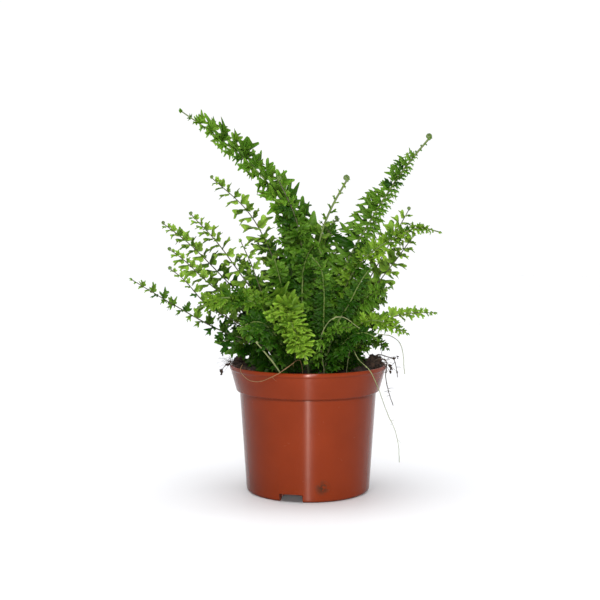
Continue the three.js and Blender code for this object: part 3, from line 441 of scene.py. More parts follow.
class StageSettings(bpy.types.PropertyGroup):
    camera_place: FloatVectorProperty(
        name="Camera", description="Where the camera stands", subtype="TRANSLATION", size=3,
        unit="LENGTH", default=(-0.0043, -0.566, 0.138))
    camera_pitch: FloatProperty(
        name="Pitch", description="How far the camera looks down", subtype="ANGLE",
        default=math.radians(3.6))
    lens: FloatProperty(
        name="Lens", description="Focal length in millimetres on a 36 mm frame", default=63.2)
    key_power: FloatProperty(
        name="Key", description="Power of the lamp over the camera", default=6.5, unit="POWER")
    glint_power: FloatProperty(
        name="Glint", description="Power of the upright line of light that the pot mirrors",
        default=4.0, unit="POWER")
    strip_power: FloatProperty(
        name="Strip", description="Power of the low upright strip before the plant",
        default=2.2, unit="POWER")
    floor_light: FloatProperty(
        name="Floor light", description="Strength of the soft light on the floor", default=2.45)
    room: FloatProperty(
        name="Room", description="Light from the dim side of the room, before the plant",
        default=0.1)
    wall: FloatProperty(
        name="Wall", description="Light from the white side of the room, behind the plant",
        default=0.9)
    backdrop: FloatProperty(
        name="Backdrop", description="Brightness of the white seen behind the plant", default=1.04)


# Shader maths

class Value:
    """A number that a tree's nodes work out, so that sums can be written with it."""

    def __init__(self, nodes, socket):
        self.nodes = nodes
        self.socket = socket

    def _sum(self, operation, first, second):
        return self.nodes.node("ShaderNodeMath", {"operation": operation}, {0: first, 1: second})

    def __add__(self, other):
        return self._sum("ADD", self, other)

    def __radd__(self, other):
        return self._sum("ADD", other, self)

    def __sub__(self, other):
        return self._sum("SUBTRACT", self, other)

    def __rsub__(self, other):
        return self._sum("SUBTRACT", other, self)

    def __mul__(self, other):
        return self._sum("MULTIPLY", self, other)

    def __rmul__(self, other):
        return self._sum("MULTIPLY", other, self)

    def __pow__(self, other):
        return self._sum("POWER", self, other)


class Nodes:
    """A tree of nodes, which starts empty."""

    def __init__(self, owner):
        owner.use_nodes = True
        self.tree = owner.node_tree
        self.tree.nodes.clear()

    def put(self, socket, value):
        if isinstance(value, Value):
            self.tree.links.new(value.socket, socket)
        elif hasattr(value, "__len__") and len(value) == 3 and len(socket.default_value) == 4:
            socket.default_value = (*value, 1)
        else:
            socket.default_value = value

    def node(self, kind, settings=None, sockets=None, out=0):
        """Any node: its type, its settings, the values or links of its sockets, its output."""
        node = self.tree.nodes.new(kind)
        for name, value in (settings or {}).items():
            if name == "stops":
                for stop, (place, colour) in zip(node.color_ramp.elements, value):
                    stop.position = place
                    stop.color = (*colour, 1)
            else:
                setattr(node, name, value)
        for name, value in (sockets or {}).items():
            self.put(node.inputs[name], value)
        return None if out is None else Value(self, node.outputs[out])

    def between(self, value, low, high, to_low=0.0, to_high=1.0):
        """Value from low to high, drawn out to run from to_low to to_high."""
        return self.node("ShaderNodeMapRange", {"clamp": True}, {
            0: value, 1: low, 2: high, 3: to_low, 4: to_high})


class Finish(Nodes):
    """A material with one shader. Its settings are the shader's sockets that stay the same all
    over the surface."""

    def __init__(self, name, **settings):
        self.material = bpy.data.materials.new(name)
        super().__init__(self.material)
        shader = self.node("ShaderNodeBsdfPrincipled")
        self.node("ShaderNodeOutputMaterial", None, {"Surface": shader}, out=None)
        self.sockets = {socket.name.lower().replace(" ", "_"): socket
                        for socket in shader.socket.node.inputs}
        for name, value in settings.items():
            self.put(self.sockets[name], value)

    def grain(self, size, detail=3.0, roughness=0.55, distortion=0.0):
        """Noise whose grains are about size metres across, the same in every direction."""
        place = self.node("ShaderNodeTexCoord", out="Object")
        return self.node("ShaderNodeTexNoise", {"noise_dimensions": "3D"}, {
            "Vector": place, "Scale": 1 / size, "Detail": detail, "Roughness": roughness,
            "Distortion": distortion})

    def mix(self, share, first, second):
        """One colour turned into another by share."""
        return self.node("ShaderNodeMix", {"data_type": "RGBA"}, {
            0: share, 6: first, 7: second}, out=2)

    def stored(self, name):
        """A number stored on the mesh."""
        return self.node("ShaderNodeAttribute", {"attribute_name": name}, out="Fac")

    def bump(self, height, depth):
        """Raises the surface by height times depth metres, in its shading."""
        normal = self.node("ShaderNodeBump", None, {
            "Height": height, "Distance": depth, "Strength": 1.0})
        self.put(self.sockets["normal"], normal)

    def colour(self, value):
        self.put(self.sockets["base_color"], value)

    def roughness(self, value):
        self.put(self.sockets["roughness"], value)


def shade(colour, share):
    """A colour made lighter or darker."""
    return tuple(min(1.0, part * share) for part in colour)


def plastic_finish(settings):
    """Moulded polypropylene: satin, faintly mottled, soiled low down and at the lip, and with one
    smear of peat on its foot."""
    finish = Finish("pot_plastic", specular_ior_level=0.12, anisotropic=1.0,
                    anisotropic_rotation=0.25)
    colour = tuple(settings.colour)
    mottle = finish.between(finish.grain(0.02, 4), 0.3, 0.7)
    tone = finish.mix(mottle, shade(colour, 0.92), shade(colour, 1.08))
    height = finish.node("ShaderNodeSeparateXYZ", None, {
        0: finish.node("ShaderNodeTexCoord", out="Object")}, out="Z")
    low = finish.between(height, 0.0, 0.02, 1.0, 0.0)
    high = finish.between(height, settings.height - 0.006, settings.height, 0.0, 0.8)
    specks = finish.between(finish.grain(0.0016, 2, 0.7), 0.68, 0.74)
    away = finish.node("ShaderNodeVectorMath", {"operation": "DISTANCE"}, {
        0: finish.node("ShaderNodeTexCoord", out="Object"), 1: SMEAR_PLACE}, out=1)
    smear = finish.between(away, 0.0012, 0.0046, 1.0, 0.0)
    clots = finish.between(finish.grain(0.0018, 3, 0.6), 0.4, 0.47)
    dirt = specks * (0.4 * low + 0.5 * high) + 0.95 * smear * clots
    finish.colour(finish.mix(dirt, tone, (0.035, 0.014, 0.007)))
    scuffs = finish.between(finish.grain(0.004, 5, 0.6), 0.35, 0.75)
    finish.roughness(0.24 + 0.04 * scuffs + 0.1 * dirt)
    finish.bump(finish.grain(0.0012, 2), 0.000006)
    return finish.material


def peat_finish(settings):
    """Damp peat: nearly black, with browner crumbs and lighter fibres."""
    finish = Finish("peat", roughness=0.9, specular_ior_level=0.25)
    colour = tuple(settings.colour)
    clods = finish.between(finish.grain(0.003, 5, 0.65), 0.35, 0.7)
    tone = finish.mix(clods, shade(colour, 0.45), shade(colour, 1.7))
    crumb = finish.stored("crumb_tone")
    fibres = finish.between(finish.grain(0.0011, 3, 0.7, 1.2), 0.66, 0.74, 0.0, 0.6)
    tone = finish.mix(crumb, tone, (0.05, 0.025, 0.014))
    finish.colour(finish.mix(fibres, tone, (0.08, 0.045, 0.024)))
    finish.roughness(0.95 - 0.2 * clods)
    finish.bump(finish.grain(0.0007, 4, 0.7), 0.0003)
    return finish.material


def leaf_finish(name, colour, sheen):
    """A leaflet: its tone differs from leaflet to leaflet, its veins are lighter, it is darker
    towards its middle with painted shade and paler at its margin with a painted highlight, and
    its underside is paler and duller."""
    finish = Finish(name, specular_ior_level=0.05, subsurface_weight=0.2,
                    subsurface_scale=0.0008, subsurface_radius=(0.4, 1.0, 0.15))
    dark = (colour[0] * 0.11, colour[1] * 0.27, colour[2] * 0.05)
    light = (colour[0] * 2.0, colour[1] * 1.65, colour[2] * 1.6)
    age = finish.stored("leaflet_tone")
    tone = finish.mix(age, dark, light)
    blotch = finish.between(finish.grain(0.0022, 3), 0.35, 0.7)
    tone = finish.mix(0.35 * blotch, tone, shade(colour, 0.6))
    edge = finish.stored("edge")
    # Painted shade: the leaflet turns towards its dark tone near its middle vein.
    tone = finish.mix(finish.between(edge, 0.0, 0.55, 0.5, 0.0), tone, dark)
    # Painted highlight: the margin turns pale and whitish, more so on young leaflets.
    rim = (colour[0] * 2.7 + 0.012, colour[1] * 2.1 + 0.014, colour[2] * 2.5 + 0.012)
    tone = finish.mix(edge ** 3 * (0.07 + 0.65 * age), tone, rim)
    vein = finish.between(finish.stored("across_lobe"), 0.0, 0.22, 1.0, 0.0)
    tone = finish.mix(0.2 * vein, tone, light)
    under = finish.stored("underside")
    pale = (colour[0] * 1.1 + 0.002, colour[1] + 0.003, colour[2] + 0.003)
    finish.colour(finish.mix(under * (0.15 + 0.5 * age), tone, pale))
    finish.roughness(sheen + 0.15 * under + 0.15 * blotch)
    veins = finish.between(finish.stored("across_lobe"), 0.0, 0.5, 0.0, 1.0)
    finish.bump(veins * 0.6 + finish.grain(0.0006, 2) * 0.4, 0.00012)
    return finish.material


def stem_finish(name, colour, fleck, foot=1.0):
    """A stalk, runner or root: streaked along its length and flecked with brown scales. Where
    foot is under 1 it is that much darker where it leaves the soil, partly as soil stain and
    partly as painted shade."""
    finish = Finish(name, specular_ior_level=0.25)
    streak = finish.between(finish.grain(0.0016, 4, 0.6), 0.3, 0.7)
    tone = finish.mix(streak, shade(colour, 0.7), shade(colour, 1.25))
    # Darker foot: partly soil stain, partly painted shade.
    if foot < 1:
        low = finish.between(finish.stored("leaflet_tone"), 0.05, 0.4, 1.0, 0.0)
        tone = finish.mix(low, tone, shade(colour, foot))
    scales = finish.between(finish.grain(0.0006, 2, 0.6), 0.62, 0.7, 0.0, 0.7)
    finish.colour(finish.mix(scales, tone, fleck))
    finish.roughness(0.45 + 0.3 * streak)
    finish.bump(finish.grain(0.0004, 3), 0.00008)
    return finish.material


def floor_finish():
    """The pale surface that the pot stands on."""
    finish = Finish("pale_floor", roughness=0.6, specular_ior_level=0.25)
    cloud = finish.between(finish.grain(0.4, 3), 0.3, 0.7)
    finish.colour(finish.mix(cloud, (0.84, 0.85, 0.87), (0.88, 0.885, 0.9)))
    return finish.material


# Meshes

def add_piece(name, mesh, materials, nodes, body="root"):
    """Puts a mesh in the scene as a piece that rides on a body in place of CAD nodes."""
    piece = bpy.data.objects.new(name, mesh)
    bpy.context.scene.collection.objects.link(piece)
    for material in materials:
        mesh.materials.append(material)
    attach(piece, body)
    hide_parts(*nodes)
    return piece


class Body:
    """Points and faces gathered from many small shells, with numbers stored on them."""

    def __init__(self):
        self.points = []
        self.faces = []
        self.finishes = []
        self.sharp = []
        self.stored = {}
        self.count = 0

    def add(self, points, faces, finish=0, **stored):
        """One shell. A stored value is a number, or an array with one number for each point or
        each face, and underside is always by face."""
        start = self.count
        self.points.append(points)
        self.faces.append(np.asarray(faces) + start)
        self.finishes.append(np.full(len(faces), finish))
        for name, value in stored.items():
            size = len(faces) if name == "underside" else len(points)
            self.stored.setdefault(name, []).append((start, len(self.faces) - 1,
                                                     np.broadcast_to(value, size)))
        self.count += len(points)

    def mesh(self, name):
        faces = [tuple(dict.fromkeys(face)) for group in self.faces for face in group.tolist()]
        mesh = bpy.data.meshes.new(name)
        mesh.from_pydata(np.vstack(self.points).tolist(), [], faces)
        mesh.polygons.foreach_set("material_index", np.concatenate(self.finishes).astype(np.int32))
        mesh.polygons.foreach_set("use_smooth", np.ones(len(faces), bool))
        face_starts = np.cumsum([0] + [len(group) for group in self.faces])
        for stored_name, values in self.stored.items():
            by_face = stored_name == "underside"
            whole = np.zeros(len(faces) if by_face else self.count, np.float32)
            for start, shell, part in values:
                first = face_starts[shell] if by_face else start
                whole[first:first + len(part)] = part
            layer = mesh.attributes.new(stored_name, "FLOAT", "FACE" if by_face else "POINT")
            layer.data.foreach_set("value", whole)
        mesh.set_sharp_from_angle(angle=math.radians(75))
        mesh.validate()
        return mesh


def spin(profile, sides):
    """Points and quads of a profile of (radius, height) turned round the Z axis. A profile that
    starts and ends on the axis gives a closed shell."""
    radius, height = np.array(profile).T
    turn = np.arange(sides) * 2 * math.pi / sides
    rows = [np.column_stack([r * np.cos(turn), r * np.sin(turn), np.full(sides, z)])
            for r, z in zip(radius[1:-1], height[1:-1])]
    points = np.vstack([[[0, 0, height[0]]], *rows, [[0, 0, height[-1]]]])
    last = len(points) - 1
    faces = []
    for side in range(sides):
        after = (side + 1) % sides
        faces.append((0, 1 + after, 1 + side))
        for row in range(len(rows) - 1):
            a = 1 + row * sides
            b = a + sides
            faces.append((a + side, a + after, b + after, b + side))
        top = 1 + (len(rows) - 1) * sides
        faces.append((top + side, top + after, last))
    return points, faces


def rounded(corners, steps=5):
    """A profile with its corners rounded. Each corner is (radius, height, rounding)."""
    line = []
    for i, (x, y, size) in enumerate(corners):
        here = np.array([x, y])
        if size == 0 or i in (0, len(corners) - 1):
            line.append(here)
            continue
        before = np.array(corners[i - 1][:2]) - here
        after = np.array(corners[i + 1][:2]) - here
        reach = min(size, np.linalg.norm(before) * 0.48, np.linalg.norm(after) * 0.48)
        start = here + before / np.linalg.norm(before) * reach
        end = here + after / np.linalg.norm(after) * reach
        for t in np.linspace(0, 1, steps):
            line.append((1 - t) ** 2 * start + 2 * t * (1 - t) * here + t ** 2 * end)
    return line


def resampled(line, count):
    """Evenly spaced points on a line of points."""
    steps = np.linalg.norm(np.diff(line, axis=0), axis=1)
    along = np.concatenate([[0], np.cumsum(steps)])
    wanted = np.linspace(0, along[-1], count)
    return np.column_stack([np.interp(wanted, along, line[:, axis]) for axis in range(3)])


def smooth_line(points, count):
    """Evenly spaced points on the smooth curve through the points given."""
    points = np.asarray(points, float)
    padded = np.vstack([2 * points[0] - points[1], points, 2 * points[-1] - points[-2]])
    t = np.linspace(0, 1, 24, endpoint=False)[:, None]
    line = []
    for p0, p1, p2, p3 in zip(padded, padded[1:], padded[2:], padded[3:]):
        d0, d1, d2 = (math.sqrt(np.linalg.norm(b - a)) for a, b in ((p0, p1), (p1, p2), (p2, p3)))
        start = ((p1 - p0) / d0 - (p2 - p0) / (d0 + d1) + (p2 - p1) / d1) * d1
        end = ((p2 - p1) / d1 - (p3 - p1) / (d1 + d2) + (p3 - p2) / d2) * d1
        square = -3 * p1 + 3 * p2 - 2 * start - end
        cube = 2 * p1 - 2 * p2 + start + end
        line.append(p1 + start * t + square * t ** 2 + cube * t ** 3)
    return resampled(np.vstack([*line, points[-1:]]), count)


def line_length(line):
    return float(np.linalg.norm(np.diff(line, axis=0), axis=1).sum())


def unit(vector):
    return vector / np.maximum(np.linalg.norm(vector, axis=-1, keepdims=True), 1e-12)


def frames_along(line, face, start):
    """Forward, upper face and right-hand side along a line, carried from one of its points."""
    forward = np.empty_like(line)
    forward[1:-1] = line[2:] - line[:-2]
    forward[0] = line[1] - line[0]
    forward[-1] = line[-1] - line[-2]
    forward = unit(forward)
    up = np.empty_like(line)
    up[start] = unit(face - forward[start] * np.dot(face, forward[start]))
    for i in range(start + 1, len(line)):
        up[i] = unit(up[i - 1] - forward[i] * np.dot(up[i - 1], forward[i]))
    for i in range(start - 1, -1, -1):
        up[i] = unit(up[i + 1] - forward[i] * np.dot(up[i + 1], forward[i]))
    return forward, up, np.cross(forward, up)


def tube(line, up, side, radii, sides=7):
    """A round tube along a line, closed at both ends by a point."""
    turn = np.arange(sides) * 2 * math.pi / sides
    radii = np.broadcast_to(radii, len(line))
    ring = (np.cos(turn)[None, :, None] * side[:, None] + np.sin(turn)[None, :, None] * up[:, None])
    points = (line[:, None] + ring * radii[:, None, None]).reshape(-1, 3)
    ends = [line[0] - unit(line[1] - line[0]) * radii[0] * 0.6,
            line[-1] + unit(line[-1] - line[-2]) * radii[-1] * 0.6]
    last = (len(line) - 1) * sides
    faces = []
    for side_number in range(sides):
        after = (side_number + 1) % sides
        for row in range(len(line) - 1):
            a = row * sides
            faces.append((a + side_number, a + sides + side_number, a + sides + after, a + after))
        faces.append((side_number, after, len(points), len(points)))
        faces.append((last + after, last + side_number, len(points) + 1, len(points) + 1))
    return np.vstack([points, ends]), faces


def add_tube(body, line, face, radii, sides, **stored):
    """A round tube in a body, turned by the upper face that its first point has."""
    _, up, side = frames_along(line, np.array(face), 0)
    points, faces = tube(line, up, side, radii, sides)
    body.add(points, faces, **stored)


def soil_height(x, y, level=0.0635):
    """Height of the soil over a place, in its broad form."""
    broad = 0.0005 * np.sin(x * 550 + 1) * np.sin(y * 500)
    fine = 0.00035 * np.sin(x * 900 - y * 1100)
    height = level + broad + fine
    for (heap_x, heap_y), rise, spread in HEAPS:
        apart = np.hypot(x - heap_x, y - heap_y)
        height = height + rise * np.exp(-((apart / spread) ** 2))
    return height


def bank(x, y):
    """How much higher the loose peat lies against the pot's wall, at the sides and the back."""
    apart = np.clip((np.hypot(x, y) - 0.026) / 0.011, 0, 1)
    back = np.clip(y / 0.02 + 0.9, 0, 1)
    return 0.0034 * apart * apart * back


# The ways of the ribs and threads

def lay_way(foot, way):
    """A rib or thread starts upright in its hole in the soil, then passes through its points."""
    ground = float(soil_height(*foot))
    start = [(*foot, ground - STALK_DEPTH), (*foot, ground + 0.0015)]
    return smooth_line([*start, *way], 41)


def bend_clear(line, placed):
    """Pushes a way aside where it comes too near one laid before, and spreads the push."""
    fixed, reach = 3, 4
    for _ in range(40):
        pushes = np.zeros_like(line)
        for i in range(fixed, len(line)):
            away = line[i] - placed
            apart = np.linalg.norm(away, axis=1)
            near = apart <= RIB_SPACING
            if near.any():
                nearest = np.where(near, apart, np.inf).argmin()
                depth = RIB_SPACING - apart[nearest] + 0.0001
                pushes[i] = away[nearest] / max(apart[nearest], 1e-9) * depth
        if not pushes.any():
            break
        for i in range(fixed, len(line)):
            for near in range(-reach, reach + 1):
                if 0 <= i + near < len(line):
                    line[i] += pushes[i + near] * (1 - abs(near) / (reach + 1)) / 3
    return line


def lay_ways():
    """The way of every runner and frond, by its node's name."""
    ways = {}
    placed = np.full((1, 3), 9.0)
    pieces = [(runner.node, runner) for runner in RUNNERS]
    pieces += [(f"frond_{i + 1:02d}", frond) for i, frond in enumerate(FRONDS)]
    for name, piece in pieces:
        line = bend_clear(lay_way(piece.foot, piece.way), placed)
        ways[name] = line
        placed = np.vstack([placed, smooth_line(line, math.ceil(line_length(line) / 0.001) + 1)])
    return ways


# Leaflets

class LeafletPattern:
    """The grid of a leaflet with a number of lobes on each side. Its columns fan out from the
    middle vein, and its rows run from the vein to the margin."""

    def __init__(self, lobes, rows):
        steps = [0.0]
        height = [0.1]
        for lobe in range(lobes):
            steps += [lobe + 0.28, lobe + 0.58, lobe + 0.84, lobe + 1.0]
            height += [0.82, 1.0, 0.76, 0.0]
        steps += [lobes + 0.25, lobes + 0.5]
        height += [0.8, 1.0]
        steps = np.array(steps)
        self.rows = rows
        self.columns = len(steps)
        self.lobes = lobes
        self.along = steps / steps[-1]
        self.height = np.array(height)
        self.before = np.floor(steps - 1e-6).clip(0, lobes).astype(int)
        self.after = np.floor(steps + 1e-6).clip(0, lobes).astype(int)
        middle = np.where(self.before == lobes, 0.5, 0.58)
        self.across = np.clip(np.abs(steps - self.before - middle) / 0.5, 0, 1)
        self.number()

    def number(self):
        """Gives each grid place its point on the upper and the lower face. They share the points
        of the margin, and the two halves share those of the vein and of the end column."""
        columns, rows = self.columns, self.rows
        places = []
        upper = {}
        lower = {}
        for column in range(columns):
            for row in range(rows + 1):
                for half in (1, -1):
                    key = (half, column, row)
                    if half == -1 and (row == 0 or column == columns - 1):
                        upper[key], lower[key] = upper[1, column, row], lower[1, column, row]
                        continue
                    upper[key] = len(places)
                    places.append((*key, 1))
                    if row == rows or column == 0:
                        lower[key] = upper[key]
                    else:
                        lower[key] = len(places)
                        places.append((*key, -1))
        faces = []
        for half in (1, -1):
            for column in range(columns - 1):
                for row in range(rows):
                    ring = [(half, column, row), (half, column + 1, row),
                            (half, column + 1, row + 1), (half, column, row + 1)]
                    top = [upper[key] for key in ring][::half]
                    bottom = [lower[key] for key in ring][::-half]
                    faces += [top, bottom]
        self.faces = np.array(faces)
        self.underside = np.tile([0.0, 1.0], len(faces) // 2)
        self.half, self.column, self.row, self.layer = np.array(places).T


PATTERNS = {(lobes, rows): LeafletPattern(lobes, rows) for lobes in range(1, 6) for rows in (2, 3)}


def leaflet_shape(cut, pattern, length, blade, chance):
    """One leaflet that lies along +X with its face to +Z and its root at 0: its points, how near
    the margin each is, and how near the side of its lobe."""
    lobes = pattern.lobes
    size = chance.uniform(0.78, 1.14, (2, lobes + 1))
    lift = chance.uniform(0.1, 1.2, (2, lobes + 1)) * cut.ruffle
    lift *= np.where(np.arange(lobes + 1) % 2, 1, -1)
    turn = chance.uniform(-0.1, 0.1, (2, lobes + 1))
    size[:, -1] = size[:, -1].mean()
    lift[:, -1] *= 0.4
    lift[1, -1] = lift[0, -1]
    turn[:, -1] = 0
    side = (pattern.half < 0).astype(int)
    before, after = pattern.before[pattern.column], pattern.after[pattern.column]
    size, lift, turn = ((part[side, before] + part[side, after]) / 2 for part in (size, lift, turn))
    along = pattern.along[pattern.column]
    height = pattern.height[pattern.column]
    across = pattern.across[pattern.column]
    out = pattern.row / pattern.rows
    gap = cut.gap * chance.uniform(0.85, 1.15)
    reach = length * (cut.reach + (1 - cut.vein - cut.reach) * along ** 1.3
                      + 0.05 * np.sin(math.pi * along))
    span = reach * (1 - gap * (1 - height)) * size * out
    angle = cut.lean * (1 - along) ** 0.85 + turn - cut.bow * out ** 2 * (1 - along) * height
    x = length * cut.vein * along ** 1.15 + span * np.cos(angle)
    y = pattern.half * span * np.sin(angle)
    cup = chance.uniform(-0.05, 0.4)
    pleat = 0.12 * span * out * (1 - across ** 2) * height
    z = cup * np.abs(y) + lift * span * out ** 0.5 + pleat - 0.4 * cut.droop * span * out ** 2
    inside = np.where((pattern.row == pattern.rows) | (pattern.column == 0), 0.0, 1.0)
    ridge = np.where(pattern.row == 0, 1.35, 1.0)
    z = z + pattern.layer * inside * ridge * blade / 2 * (1 - 0.35 * out)
    return np.column_stack([x, y, z]), out * (0.55 + 0.45 * height), across


def bent(points, length, droop, twist):
    """Turns a flat leaflet's points about its length by twist, then bends its length down."""
    share = points[:, 0] / length
    turn = twist * share
    y = points[:, 1] * np.cos(turn) - points[:, 2] * np.sin(turn)
    z = points[:, 1] * np.sin(turn) + points[:, 2] * np.cos(turn)
    if abs(droop) < 1e-3:
        return np.column_stack([points[:, 0], y, z])
    angle = droop * share
    radius = length / droop
    x = radius * np.sin(angle) + z * np.sin(angle)
    z = -radius * (1 - np.cos(angle)) + z * np.cos(angle)
    return np.column_stack([x, y, z])


def leaflet_pattern(cut, length):
    """Fewer lobes and rows on a short leaflet."""
    for limit, lobes in ((0.0018, 1), (0.0038, 2), (0.0058, 3), (0.0078, 4)):
        if length < limit:
            return PATTERNS[min(lobes, cut.lobes), 2]
    return PATTERNS[cut.lobes, 3 if length > 0.009 else 2]


def leaflet_axes(cut, frame, side_sign, pose):
    """Along a leaflet, across it and off its face, by its place on the rib and its pose."""
    forward, up, side = frame
    _, sweep, fold, roll, _, _ = pose
    out = (side * side_sign * math.cos(sweep) * math.cos(fold)
           + forward * math.sin(sweep) * math.cos(fold) + up * math.sin(fold))
    light = up * (1 - cut.level) + np.array([0, 0, cut.level])
    face = unit(light - out * np.dot(light, out))
    lean = np.cross(face, out)
    return (out, lean * math.cos(roll) - face * math.sin(roll),
            face * math.cos(roll) + lean * math.sin(roll))


def add_leaflet(body, cut, root, frame, side_sign, pose, blade, tone, chance):
    """One leaflet on a rib. The pose gives its length, sweep, fold, roll, droop and twist."""
    length, droop, twist = pose[0], pose[4], pose[5]
    pattern = leaflet_pattern(cut, length)
    points, edge, across = leaflet_shape(cut, pattern, length, blade, chance)
    points = bent(points, length, droop, twist)
    placed = root + points @ np.array(leaflet_axes(cut, frame, side_sign, pose))
    body.add(placed, pattern.faces, 0, leaflet_tone=tone, edge=edge, across_lobe=across,
             underside=pattern.underside)


def add_pinna(body, cut, root, frame, side_sign, pose, blade, tone, chance):
    """A long leaflet that is divided again: a fine rib with small leaflets of its own."""
    length, droop = pose[0], pose[4]
    axes = np.array(leaflet_axes(cut, frame, side_sign, pose))
    steps = np.linspace(0, 1, 11)
    rib = np.column_stack([0.66 * steps * length, 0 * steps, 0 * steps])
    points = bent(rib, length, droop, 0)
    line = root + points @ axes
    forward, up, side = frames_along(line, axes[2], 0)
    points, faces = tube(line, up, side, np.linspace(0.00017, 0.00008, len(line)), 4)
    body.add(points, faces, 0, leaflet_tone=tone, edge=0.3, across_lobe=0.5, underside=0.0)
    small_cut = cut._replace(lobes=2)
    small_side = 1
    for i in (1, 2, 4, 5, 7, 8, 10):
        share = i / 10
        small_side = -small_side
        sweep = math.pi / 2 if i == 10 else 0.3 + 0.6 * share
        small = (length * (0.44 - 0.1 * share) * chance.uniform(0.85, 1.15), sweep,
                 chance.uniform(-0.2, 0.5), small_side * chance.uniform(0, 0.6),
                 cut.droop * chance.uniform(0.3, 1.2), chance.uniform(-0.5, 0.5))
        add_leaflet(body, small_cut, line[i], (forward[i], up[i], side[i]), small_side, small,
                    blade, float(np.clip(tone + chance.normal(0, 0.1), 0, 1)), chance)


def leaflet_reach(frond, along):
    """A leaflet's length by its place on the rib. It grows over the foot of the leafy stretch."""
    start = 0.04
    leafy = max(0.0, (along - frond.bare) / (1 - frond.bare))
    swell = math.sin(math.pi * min(1, 0.24 + 0.76 * leafy)) ** 0.32
    swell *= 1 - TAPERS.get(frond.cut, 0.25) * leafy
    foot = np.clip((along - start) / (frond.bare - start), 0, 1)
    if frond.tip == "curl":
        swell *= 1 - 0.5 * leafy ** 2.5
    return frond.reach * swell * (0.45 + 0.55 * foot)


def add_rib(body, line, up, side, thickness, taper):
    """The stalk and rib, thick at the foot and thinner by taper at the tip. What is stored as its
    tone is the share of its way from the foot."""
    share = np.linspace(0, 1, len(line))
    radii = thickness * (1 - taper * share ** 0.8)
    points, faces = tube(line, up, side, radii)
    rows = np.repeat(share, len(points) // len(line))
    body.add(points, faces, 1, leaflet_tone=np.concatenate([rows, [0, 1]]))
    return radii[-1]


def add_curl(body, end, frame, radius, cut, blade, size, chance):
    """A young tip: the rib rolled up in a tight spiral, with small folded leaflets round it."""
    forward, up, side = frame
    over = unit(0.35 * up + (side if side[2] < 0 else -side))
    turns = np.linspace(0.6, 2.9 * math.pi, 36)
    reach = size * (1 - 0.8 * (turns - turns[0]) / (turns[-1] - turns[0]))
    circle = -forward * np.cos(turns)[:, None] + over * np.sin(turns)[:, None]
    line = end + reach[:, None] * circle - reach[0] * circle[0]
    thickness = np.linspace(max(radius, size * 0.3), size * 0.45, len(line))
    along, curl_up, curl_side = frames_along(line, over, 0)
    points, faces = tube(line, curl_up, curl_side, thickness, 7)
    body.add(points, faces, 2, leaflet_tone=0.7)
    for i in range(2, len(line) - 4, 3):
        for side_sign in (1, -1):
            length = size * chance.uniform(0.7, 1.15) * (1 - 0.45 * i / len(line))
            pose = (length, 0.3, 0.9 + chance.uniform(-0.2, 0.3), 0, 1.6, 0)
            frame_here = (along[i], curl_up[i], curl_side[i])
            add_leaflet(body, cut, line[i], frame_here, side_sign, pose, blade, 0.75, chance)


def add_tip(body, end, frame, cut, length, blade, chance):
    """A grown tip: one small leaflet straight ahead between two smaller ones."""
    for sweep, share in ((1.57, 1.0), (0.9, 0.7), (2.2, 0.7)):
        pose = (max(0.0012, length * share), sweep, 0.1, 0, 0.5, 0)
        add_leaflet(body, cut, end, frame, 1, pose, blade, 0.7, chance)


